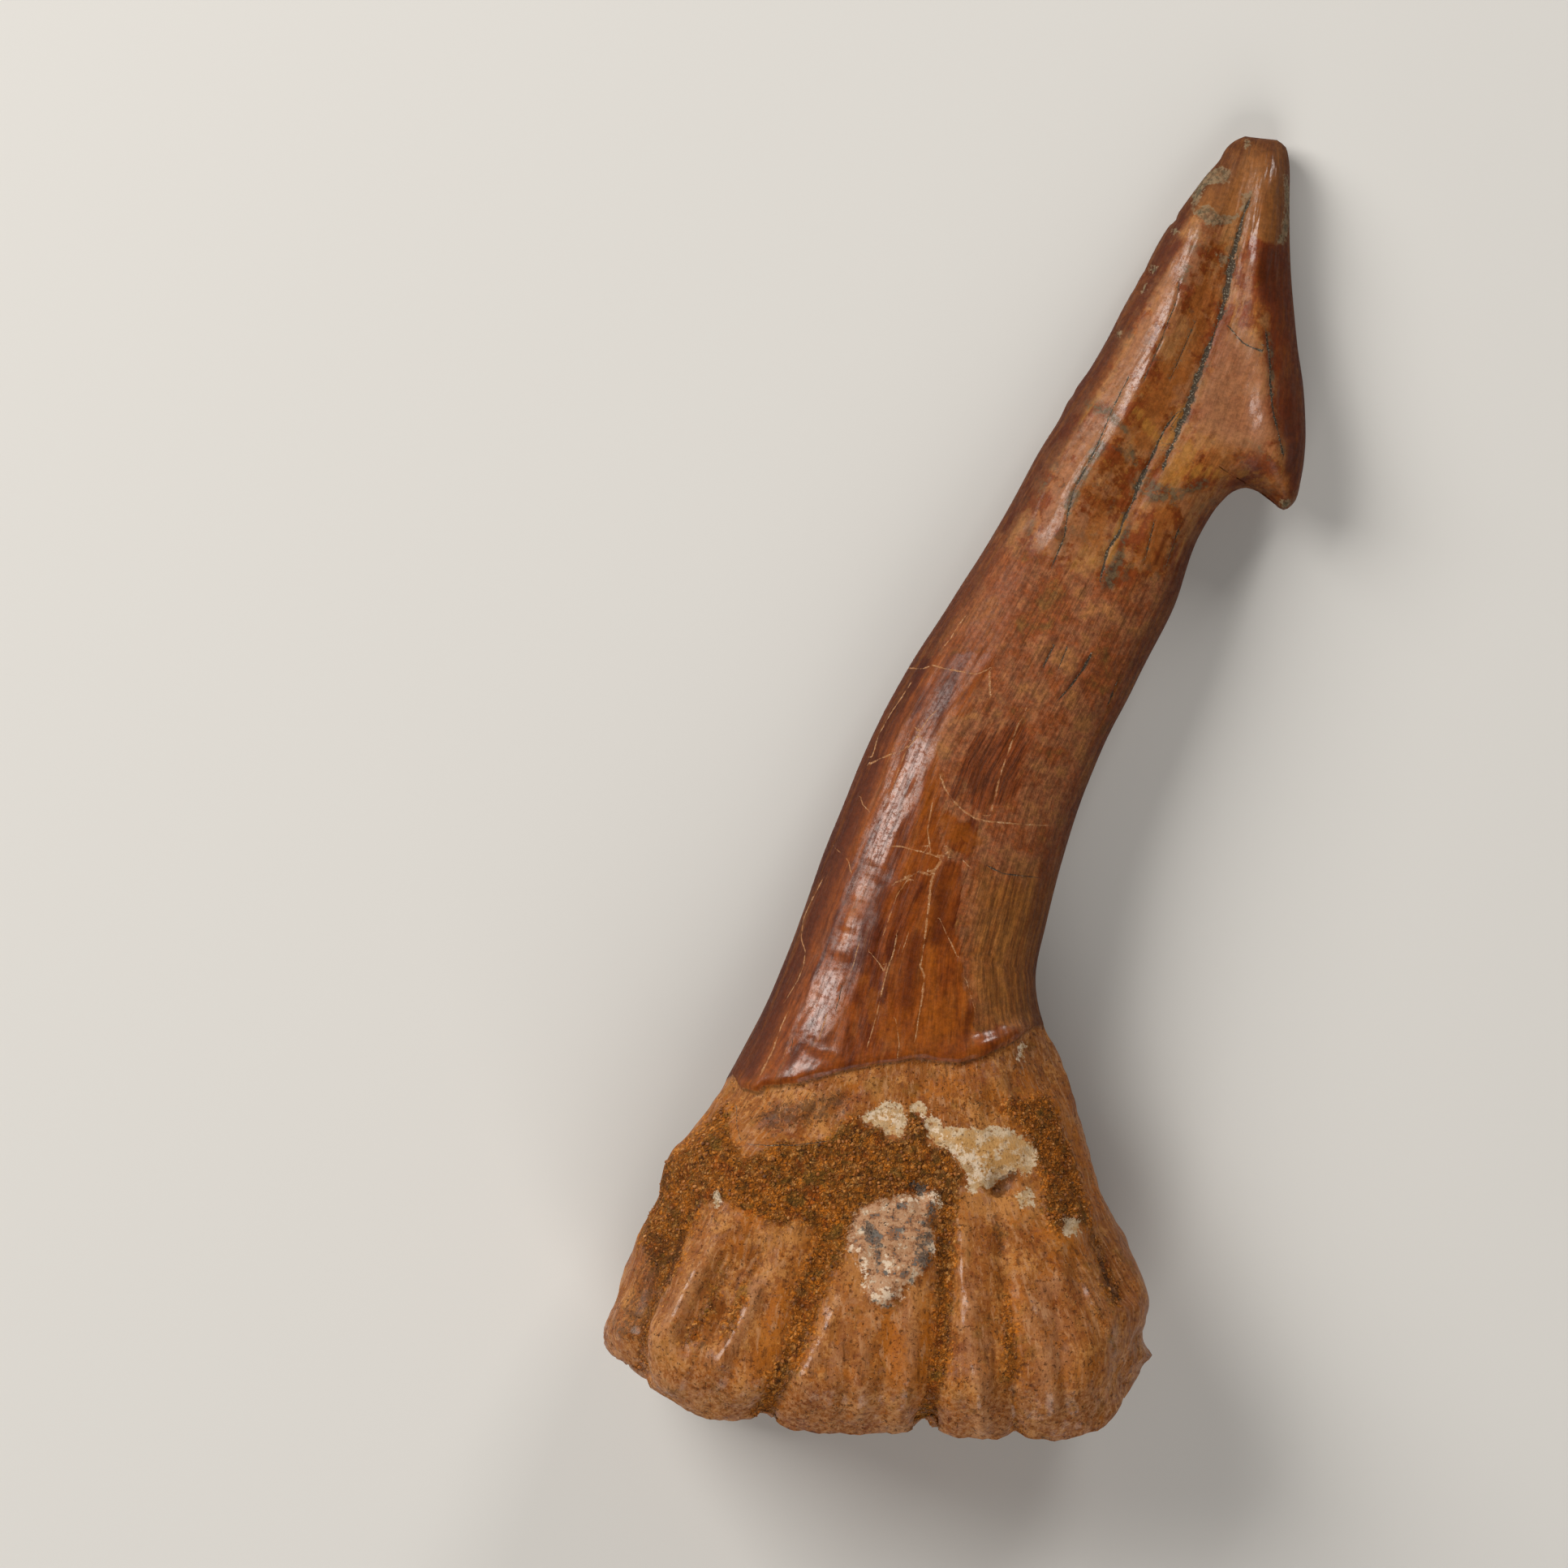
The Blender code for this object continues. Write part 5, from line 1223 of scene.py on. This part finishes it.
def sandColours(place, patterns):
    grains = useGroup(grit, Place=place, Grain=toothFinish["sandGrain"], Seed=0.0)
    shown = colourRamp(grains["Tone"], (
        (0.0, "sandDark"), (0.16, "sandBrown"), (0.42, "sandOchre"), (0.84, "sandOchre"), (0.94, "sandPale"),
    ))
    shown = layered(shown, (
        (fade(patterns["patches"], 0.46, 0.6), 0.5, "rootOrange"),
        (ragged("orange", patterns["fine"], 0.3, 0.7), 0.7, "rootOrange"),
        (fade(patterns["smaller"], 0.52, 0.6), 0.6, "rootOrange"),
        (fade(patterns["smaller"], 0.46, 0.38), 0.6, "sandOlive"),
        (fade(patterns["fine"], 0.55, 0.63), 0.6, "sandPale"),
        (fade(patterns["fine"], 0.45, 0.37), 0.7, "sandDark"),
        (patterns["olive"], 0.75, "sandOlive"),
        (patterns["rust"], 0.6, "sandRust"),
        (patterns["brown"], 0.55, "sandBrown"),
        (patterns["pale"], 0.55, "sandPale"),
        (patterns["specks"], 0.8, "sandDark"),
    ))
    shown = shaded(shown, patterns["smaller"], 0.4, 0.6, 0.84, 1.14)
    # grains darker in the gaps between them and lighter on their tops: painted shade
    return shaded(shown, grains["Height"], 0.0, 0.7, 0.58, 1.2)


# The thin pale crust
def creamColours(tree, patterns):
    fine, dusty = patterns["fine"], patterns["dusty"]
    jagged = times(minus(fine, 0.5), 2.2)
    inner = plus(field(tree, "creamReach"), jagged)
    shown = mixColour(fade(inner, 0.1, 0.7), colour["cream"], colour["creamTan"])
    shown = layered(shown, (
        (fade(patterns["smaller"], 0.48, 0.4), 0.6, "creamTan"),
        (fade(mixValue(0.4, patterns["smaller"], fine), 0.49, 0.57), 0.85, "creamWhite"),
        (patterns["brown"], 0.6, "creamTan"),
        (fade(fine, 0.42, 0.34), 0.7, "dentine"),
        (patterns["specks"], 0.5, "sandOchre"),
    ))
    return shaded(shown, dusty, 0.25, 0.7, 0.9, 1.06)


# The patch of mixed white, pink, rust and slate
def mottleColours(patterns):
    shown = colourRamp(mixValue(0.25, patterns["smaller"], patterns["fine"]), (
        (0.41, "slate"), (0.45, "mottleRust"), (0.49, "mottlePink"), (0.55, "mottlePink"),
        (0.60, "mottlePale"), (0.66, "white"),
    ))
    shown = stained(shown, patterns["brown"], 0.6, "mottleRust")
    shown = stained(shown, patterns["pale"], 0.5, "mottlePale")
    return stained(shown, patterns["specks"], 0.8, "soot")


def rootColours(tree, place, patterns, masks):
    fine = patterns["fine"]
    bone, sand = boneColours(tree, patterns, masks), sandColours(place, patterns)
    shown = mixColour(masks["sand"], bone, sand)
    # a dark band in the sand along the cream crust's border: painted shadow
    creamBorderShadow = times(fade(field(tree, "creamReach"), -0.4, -0.02), masks["sand"])
    shown = stained(shown, creamBorderShadow, 0.5, "sandDark")
    shown = mixColour(masks["cream"], shown, creamColours(tree, patterns))
    shown = mixColour(masks["mottle"], shown, mottleColours(patterns))
    shown = stained(shown, ragged("dark", fine), 0.7, "darkStain")
    shown = stained(shown, ragged("white", fine, 0.6, 0.85, 8.0), 0.85, "white")
    smoky = mixColour(fade(patterns["dusty"], 0.42, 0.62), colour["soot"], colour["slate"])
    shown = mixColour(times(ragged("soot", fine, 0.4, 0.6, 8.0), 0.8), shown, smoky)
    # a dark band just below the enamel edge: painted shadow under the ledge
    ledgeShadow = times(fade(field(tree, "enamelReach"), -0.24, -0.06), fade(fine, 0.36, 0.56))
    return stained(shown, ledgeShadow, 0.7, "darkStain")


def shaftColours(patterns, masks):
    slow, middle, quick = patterns["slow"], patterns["middle"], patterns["quick"]
    patches, smaller, fine = patterns["patches"], patterns["smaller"], patterns["fine"]
    glossy = colourRamp(mixValue(0.45, slow, patches), (
        (0.32, "glossDark"), (0.50, "glossMid"), (0.76, "glossWarm"),
    ))
    glossy = layered(glossy, (
        (fade(slow, 0.42, 0.12), 0.5, "glossDark"),
        (fade(quick, 0.35, 0.02), 0.45, "glossDark"),
        (fade(middle, 0.62, 1.0), 0.3, "matteTan"),
    ))
    matte = colourRamp(mixValue(0.3, patches, smaller), (
        (0.36, "matteGreen"), (0.45, "matteRed"), (0.52, "mattePink"), (0.60, "matteTan"),
    ))
    matte = layered(matte, (
        (fade(middle, 0.5, 0.95), 0.35, "matteTan"),
        (fade(middle, 0.42, 0.0), 0.3, "matteRed"),
        (fade(quick, 0.34, 0.0), 0.3, "matteDark"),
        (patterns["brown"], 0.35, "matteTan"),
    ))
    matte = shaded(matte, fine, 0.3, 0.7, 0.84, 1.16)
    fibrous = mixColour(fade(middle, 0.1, 0.9), colour["fibreDark"], colour["fibreTan"])
    fibrous = stained(fibrous, fade(smaller, 0.5, 0.64), 0.4, "matteTan")
    fibrous = shaded(fibrous, quick, 0.1, 0.9, 0.84, 1.16)
    matte = mixColour(times(masks["fibrous"], 0.85), matte, fibrous)
    island = shaded(colour["island"], quick, 0.1, 0.9, 0.8, 1.5)
    matte = mixColour(times(masks["island"], 0.85), matte, island)
    shown = mixColour(masks["gloss"], matte, glossy)
    return stained(shown, masks["polished"], 0.5, "glossMid")


def headColours(patterns, masks):
    slow, middle, smaller = patterns["slow"], patterns["middle"], patterns["smaller"]
    broad = mixValue(0.62, slow, fade(patterns["patches"], 0.34, 0.66))
    shown = colourRamp(mixValue(0.35, broad, smaller), (
        (0.32, "redSide"), (0.43, "headBrown"), (0.50, "headOrange"), (0.58, "headOrange"), (0.68, "ochre"),
    ))
    shown = layered(shown, (
        (fade(patterns["patches"], 0.48, 0.56), 0.6, "headPink"),
        (fade(middle, 0.42, 0.05), 0.4, "headBrown"),
        (fade(patterns["patches"], 0.5, 0.42), 0.6, "headRed"),
        (fade(patterns["quick"], 0.3, 0.0), 0.3, "headBrown"),
        (fade(patterns["quick"], 0.7, 1.0), 0.2, "headPink"),
        (patterns["rust"], 0.45, "headBrown"),
        (patterns["olive"], 0.42, "greyGreen"),
        (patterns["brown"], 0.5, "redSide"),
        (patterns["pale"], 0.35, "ochre"),
        (ragged("orange", smaller, 0.2, 0.7), 0.75, "headOrange"),
        # pink along the left ridge: partly painted highlight
        (ragged("pinkAndSheen", smaller, 0.2, 0.9, 7.0), 0.75, "headPink"),
        (ragged("ochre", mixValue(0.5, smaller, middle), 0.3, 0.9, 3.5), 0.6, "ochre"),
        (masks["facet"], 0.7, "headPink"),
        (masks["redSide"], 0.75, "redSide"),
    ))
    return stained(shown, masks["tip"], 0.9, "tipOchre")


def crownColours(tree, patterns, masks):
    slow, middle, quick = patterns["slow"], patterns["middle"], patterns["quick"]
    smaller, fine = patterns["smaller"], patterns["fine"]
    grained = shaded(shaftColours(patterns, masks), quick, 0.15, 0.85, 0.82, 1.18)
    clouded = shaded(headColours(patterns, masks), quick, 0.15, 0.85, 0.93, 1.07)
    shown = mixColour(masks["head"], grained, clouded)
    warm = times(ragged("orange", smaller, 0.2, 0.7), minus(1.0, masks["head"]))
    shown = stained(shown, warm, 0.6, "glossWarm")
    darkened = ragged("dark", mixValue(0.4, slow, smaller), 0.1, 1.0, 2.6)
    shown = stained(shown, darkened, 0.9, "glossDark")
    halo = times(field(tree, "darkNear"), masks["head"], fade(fine, 0.5, 0.66))
    smudged = ragged("grey", mixValue(0.55, smaller, fine), 0.2, 1.0, 9.0)
    smudge = mixColour(fade(fine, 0.42, 0.56), colour["vein"], colour["greyGreen"])
    shown = mixColour(times(larger(smudged, halo), 0.8), shown, smudge)
    # darker towards the side edges: partly the enamel's own dark red-brown, partly painted shade
    edgeShadeBand = fade(plus(field(tree, "sideReach"), times(slow, 1.1)), 2.3, 0.5)
    side = mixColour(fade(middle, 0.45, 0.8), colour["edgeRedShaded"], colour["edgeTanShaded"])
    shown = mixColour(times(edgeShadeBand, 0.75), shown, side)
    shown = shaded(shown, fine, 0.36, 0.64, 0.82, 1.18)
    beige = mixColour(fade(fine, 0.42, 0.58), colour["greyGreen"], colour["beige"])
    covered = times(masks["beige"], fade(smaller, 0.3, 0.55, 0.4, 0.95))
    return mixColour(covered, shown, beige)


def makeMasks(tree, patterns):
    masks = {"enamel": fade(field(tree, "enamelReach"), *toothFinish["enamelBorder"])}
    for name, (pattern, fray, softness) in toothFinish["borders"].items():
        masks[name] = zoneMask(name, patterns[pattern], fray, softness)
    hollow = fade(field(tree, "hollow"), 0.35, 0.75)
    hollow = times(hollow, fade(patterns["smaller"], 0.36, 0.58))
    uncovered = minus(1.0, larger(masks["cream"], masks["mottle"]))
    masks["sand"] = times(larger(masks["sand"], hollow), uncovered)
    return masks


def hairLines(name, place, **shape):
    side, near = field(place.id_data, name + "Side"), field(place.id_data, name + "Near")
    return useGroup(hairLine, Side=side, Near=near, Place=place, **shape)["Line"]


# Where the crown is polished and where the bone has a satin
def coatWeights(tree, patterns, masks, polish, worn, scuffs):
    shine = field(tree, "shineStain")
    kept = larger(polish, shine)
    brightest = larger(shine, toothFinish["leastShine"])
    unscuffed = fade(scuffs, 0.6, 0.46, toothFinish["scuffedShine"], 1.0)
    unstreaked = fade(patterns["quick"], 0.1, 0.6, toothFinish["streakedShine"], 1.0)
    crownCoat = times(kept, brightest, minus(1.0, worn), unscuffed, unstreaked)
    crests = fade(field(tree, "crest"), 0.1, 0.9, *toothFinish["crestShine"])
    rim = times(field(tree, "rimNear"), toothFinish["rimShine"])
    covered = larger(masks["sand"], masks["cream"], masks["mottle"])
    smooth = fade(patterns["smaller"], 0.56, 0.42)
    rootCoat = times(larger(crests, rim), smooth, minus(1.0, covered))
    return mixValue(masks["enamel"], rootCoat, crownCoat)


# Fine heights in mm: grains of sand, pits, and scratches along the tooth
def toothHeight(tree, place, strands, specks, enamel):
    pits = cloudy(place, 4.0, 4.0, 0.8)
    scratches = streak(strands, 6.0, 0.06, 2.0)
    sandZone = fade(field(tree, "sandReach"), -0.1, 0.4)
    sandy = larger(sandZone, fade(field(tree, "hollow"), 0.4, 0.8))
    grains = useGroup(grit, Place=place, Grain=toothFinish["sandGrain"], Seed=0.0)["Height"]
    root = times(grains, times(sandy, toothFinish["grainHeight"]))
    root = plus(root, times(pits, fade(sandy, 0.0, 1.0, *toothFinish["rootPits"])))
    root = minus(root, times(specks, toothFinish["speckDepth"]))
    root = plus(root, times(scratches, toothFinish["rootScratches"]))
    polish = fade(larger(field(tree, "glossReach"), field(tree, "headReach")), -0.4, 0.4)
    crown = times(scratches, fade(polish, 0.0, 1.0, *toothFinish["crownScratches"]))
    crown = plus(crown, times(pits, fade(polish, 0.0, 1.0, *toothFinish["crownPits"])))
    return mixValue(enamel, root, crown)


# Cracks and their fillings, laid over the colours
def crackColours(shown, dusty, dark, pale):
    filling = mixColour(fade(dusty, 0.5, 0.65), colour["crackPale"], colour["crackBright"])
    shown = mixColour(times(pale, 0.75), shown, filling)
    filling = mixColour(fade(dusty, 0.52, 0.64), colour["vein"], colour["veinGrey"])
    filling = stained(filling, fade(dusty, 0.64, 0.7), 0.9, "veinPale")
    return mixColour(times(dark, 0.92), shown, filling)


def toothRoughness(masks, polish, worn, scuffs):
    enamel = mixValue(polish, toothFinish["roughMatte"], toothFinish["roughGloss"])
    enamel = mixValue(worn, enamel, toothFinish["roughMatte"])
    bone = mixValue(masks["sand"], toothFinish["roughRoot"], toothFinish["roughSand"])
    bone = mixValue(masks["cream"], bone, toothFinish["roughCream"])
    rough = mixValue(masks["enamel"], bone, enamel)
    return plus(rough, fade(scuffs, 0.35, 0.7, *toothFinish["roughSpread"]))


# A new material, its nodes and its shader
def newMaterial(name):
    material = bpy.data.materials.new(name)
    material.use_nodes = True
    return material, material.node_tree, material.node_tree.nodes["Principled BSDF"]


def makeToothMaterial():
    material, tree, shader = newMaterial("fossil_enamel_and_bone")
    place = millimetres(tree)
    strands = addNode(tree, "ShaderNodeAttribute", attribute_name="strands").outputs["Vector"]
    patterns = makePatterns(place, strands)
    masks = makeMasks(tree, patterns)
    dark = hairLines("dark", place, **toothFinish["darkLine"])
    pale = hairLines("pale", place, **toothFinish["paleLine"])
    bone, enamel = rootColours(tree, place, patterns, masks), crownColours(tree, patterns, masks)
    shown = mixColour(masks["enamel"], bone, enamel)
    shown = crackColours(shown, patterns["dusty"], dark, pale)
    tree.links.new(shown, shader.inputs["Base Color"])

    scuffs = cloudy(place, *toothFinish["scuffs"])
    partly = [times(masks[name], share) for name, share in toothFinish["partPolish"].items()]
    polish = larger(masks["gloss"], *partly)
    edges = fade(field(tree, "sideReach"), 1.6, 0.2)
    worn = larger(pale, dark, masks["beige"], edges)
    tree.links.new(toothRoughness(masks, polish, worn, scuffs), shader.inputs["Roughness"])
    tree.links.new(coatWeights(tree, patterns, masks, polish, worn, scuffs), shader.inputs["Coat Weight"])
    shader.inputs["Coat Roughness"].default_value = toothFinish["coatRoughness"]
    shader.inputs["Coat Tint"].default_value = colour["coatTint"]
    shader.inputs["Specular IOR Level"].default_value = toothFinish["specular"]
    height = toothHeight(tree, place, strands, patterns["specks"], masks["enamel"])
    bump = nodeAfter("ShaderNodeBump", {"Height": height, "Strength": 1.0, "Distance": toMetres})
    tree.links.new(bump.outputs[0], shader.inputs["Normal"])
    return material


tooth.data.materials.append(makeToothMaterial())
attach(tooth, "root")
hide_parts("rostral_tooth")
print("tooth finished")

# Grains of the matrix, bonded to the sandy parts of the root
grainSettings = {
    "count": 1700, "smallest": 0.045, "largest": 0.14, "sizePower": 3, "seed": 41,
    "sunk": 0.4, "squash": (0.6, 1.0), "jitter": 0.25, "rounds": 2,
    # a grain lies this far inside the sand or this deep in a groove, and this far from the enamel, the
    # crusts and the floor
    "inSand": 0.1, "inGroove": 0.65, "fromEnamel": 0.6, "fromCrust": 0.1, "fromFloor": 0.6,
    "dustSize": 0.06, "dustSeed": 4.0, "dustStrength": 0.5, "rough": (0.45, 0.85),
    "bumpStrength": 0.6, "bumpHeight": 0.02,
}


def makeGrains():
    rng = np.random.default_rng(grainSettings["seed"])
    mesh = tooth.data
    count = len(mesh.vertices)
    points = np.zeros(count * 3)
    normals = np.zeros(count * 3)
    mesh.vertices.foreach_get("co", points)
    mesh.vertices.foreach_get("normal", normals)
    points = points.reshape(-1, 3) / toMetres
    normals = normals.reshape(-1, 3)
    values = {}
    for name in ("sandReach", "enamelReach", "hollow", "creamReach", "mottleReach"):
        values[name] = np.zeros(count)
        mesh.attributes[name].data.foreach_get("value", values[name])
    wanted = (values["sandReach"] > grainSettings["inSand"]) | (values["hollow"] > grainSettings["inGroove"])
    wanted &= values["enamelReach"] < -grainSettings["fromEnamel"]
    for crust in ("creamReach", "mottleReach"):
        wanted &= values[crust] < -grainSettings["fromCrust"]
    wanted &= points[:, 2] > grainSettings["fromFloor"]
    sites = np.flatnonzero(wanted)
    chosen = rng.choice(sites, min(grainSettings["count"], len(sites)), replace=False)
    ball = bmesh.new()
    bmesh.ops.create_icosphere(ball, subdivisions=grainSettings["rounds"], radius=1.0)
    shape = np.array([vertex.co for vertex in ball.verts])
    faces = np.array([[vertex.index for vertex in face.verts] for face in ball.faces])
    ball.free()
    allPoints, tones = [], []
    for index in chosen:
        spread = grainSettings["largest"] - grainSettings["smallest"]
        size = grainSettings["smallest"] + spread * rng.random() ** grainSettings["sizePower"]
        lumpy = shape * (1 + grainSettings["jitter"] * (rng.random((len(shape), 1)) - 0.5))
        lumpy = lumpy * rng.uniform(*grainSettings["squash"], 3)
        turn, _ = np.linalg.qr(rng.normal(size=(3, 3)))
        centre = points[index] + normals[index] * size * (1 - grainSettings["sunk"] * 2)
        allPoints.append(lumpy @ turn * size + centre)
        tones.append(np.full(len(shape), rng.random()))
    steps = np.arange(len(chosen))[:, None, None] * len(shape)
    grainMesh = bpy.data.meshes.new("matrixGrains")
    corners = (np.concatenate(allPoints) * toMetres).tolist()
    grainMesh.from_pydata(corners, [], (faces + steps).reshape(-1, 3).tolist())
    grainMesh.update()
    bm = bmesh.new()
    bm.from_mesh(grainMesh)
    bmesh.ops.recalc_face_normals(bm, faces=bm.faces)
    bm.to_mesh(grainMesh)
    bm.free()
    grainMesh.shade_smooth()
    grainMesh.attributes.new("grainTone", "FLOAT", "POINT").data.foreach_set(
        "value", np.concatenate(tones).astype(np.float32)
    )
    grains = bpy.data.objects.new("matrix_grains", grainMesh)
    bpy.context.scene.collection.objects.link(grains)
    return grains


def makeGrainMaterial():
    material, tree, shader = newMaterial("ochre_sand_grains")
    place = millimetres(tree)
    shown = colourRamp(field(tree, "grainTone"), (
        (0.0, "sandDark"), (0.15, "sandBrown"), (0.5, "sandOchre"), (0.8, "rootOrange"), (1.0, "sandPale"),
    ))
    dust = useGroup(grit, Place=place, Grain=grainSettings["dustSize"], Seed=grainSettings["dustSeed"])
    dusted = fade(dust["Tone"], 0.5, 1.0, 0.0, grainSettings["dustStrength"])
    tree.links.new(mixColour(dusted, shown, colour["sandOchre"]), shader.inputs["Base Color"])
    tree.links.new(fade(dust["Tone"], 0.0, 1.0, *grainSettings["rough"]), shader.inputs["Roughness"])
    strength, distance = grainSettings["bumpStrength"], grainSettings["bumpHeight"] * toMetres
    inputs = {"Height": dust["Height"], "Strength": strength, "Distance": distance}
    tree.links.new(nodeAfter("ShaderNodeBump", inputs).outputs[0], shader.inputs["Normal"])
    return material


grains = makeGrains()
grains.data.materials.append(makeGrainMaterial())
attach(grains, "root")
print("grains placed:", len(grains.data.vertices), "points")

# The studio: a pale floor, a large softbox at the upper left, weaker ones at the upper right and the front
studio = {
    "floorSize": 1.6, "floorColour": (0.62, 0.61, 0.59), "floorRoughness": 0.75,
    "room": (1.0, 0.97, 0.94), "roomStrength": 0.06,
    # name, position, size, power and tint
    "softboxes": (
        ("key", (-0.347, 0.252, 0.312), 0.32, 3.2, (1.0, 0.97, 0.92)),
        ("fill", (0.25, 0.43, 0.26), 0.17, 1.15, (1.0, 0.97, 0.93)),
        ("front", (0.03, -0.46, 0.34), 0.4, 1.7, (1.0, 0.96, 0.91)),
    ),
}


def makeFloor():
    half = studio["floorSize"] / 2
    corners = [(-half, -half, 0), (half, -half, 0), (half, half, 0), (-half, half, 0)]
    mesh = bpy.data.meshes.new("floor")
    mesh.from_pydata(corners, [], [(0, 1, 2, 3)])
    floor = bpy.data.objects.new("floor", mesh)
    bpy.context.scene.collection.objects.link(floor)
    material, _, shader = newMaterial("pale_floor")
    shader.inputs["Base Color"].default_value = (*studio["floorColour"], 1.0)
    shader.inputs["Roughness"].default_value = studio["floorRoughness"]
    mesh.materials.append(material)


def makeLights():
    for name, position, size, power, tint in studio["softboxes"]:
        light = bpy.data.lights.new(name, "AREA")
        light.shape = "SQUARE"
        light.size = size
        light.energy = power
        light.color = tint
        lamp = bpy.data.objects.new(name, light)
        lamp.location = position
        lamp.rotation_mode = "QUATERNION"
        lamp.rotation_quaternion = (-Vector(position)).to_track_quat("-Z", "Y")
        bpy.context.scene.collection.objects.link(lamp)
    world = bpy.data.worlds.new("room")
    world.use_nodes = True
    background = world.node_tree.nodes["Background"]
    background.inputs["Color"].default_value = (*studio["room"], 1.0)
    background.inputs["Strength"].default_value = studio["roomStrength"]
    bpy.context.scene.world = world


# The camera looks straight down. At the tooth's middle height the frame is frameWidth wide.
view = {"centre": (-9.51, 0.0), "frameWidth": 87.9, "height": 700.0, "toothMiddle": 6.0, "sensor": 36.0}


def makeCamera():
    camera = bpy.data.cameras.new("camera")
    camera.sensor_width = view["sensor"]
    camera.lens = view["sensor"] * (view["height"] - view["toothMiddle"]) / view["frameWidth"]
    eye = bpy.data.objects.new("camera", camera)
    x, y = np.add(view["centre"], toothShift)
    eye.location = (x * toMetres, y * toMetres, view["height"] * toMetres)
    bpy.context.scene.collection.objects.link(eye)
    bpy.context.scene.camera = eye


makeFloor()
makeLights()
makeCamera()
bpy.context.scene.view_settings.view_transform = "Standard"
print("studio ready")
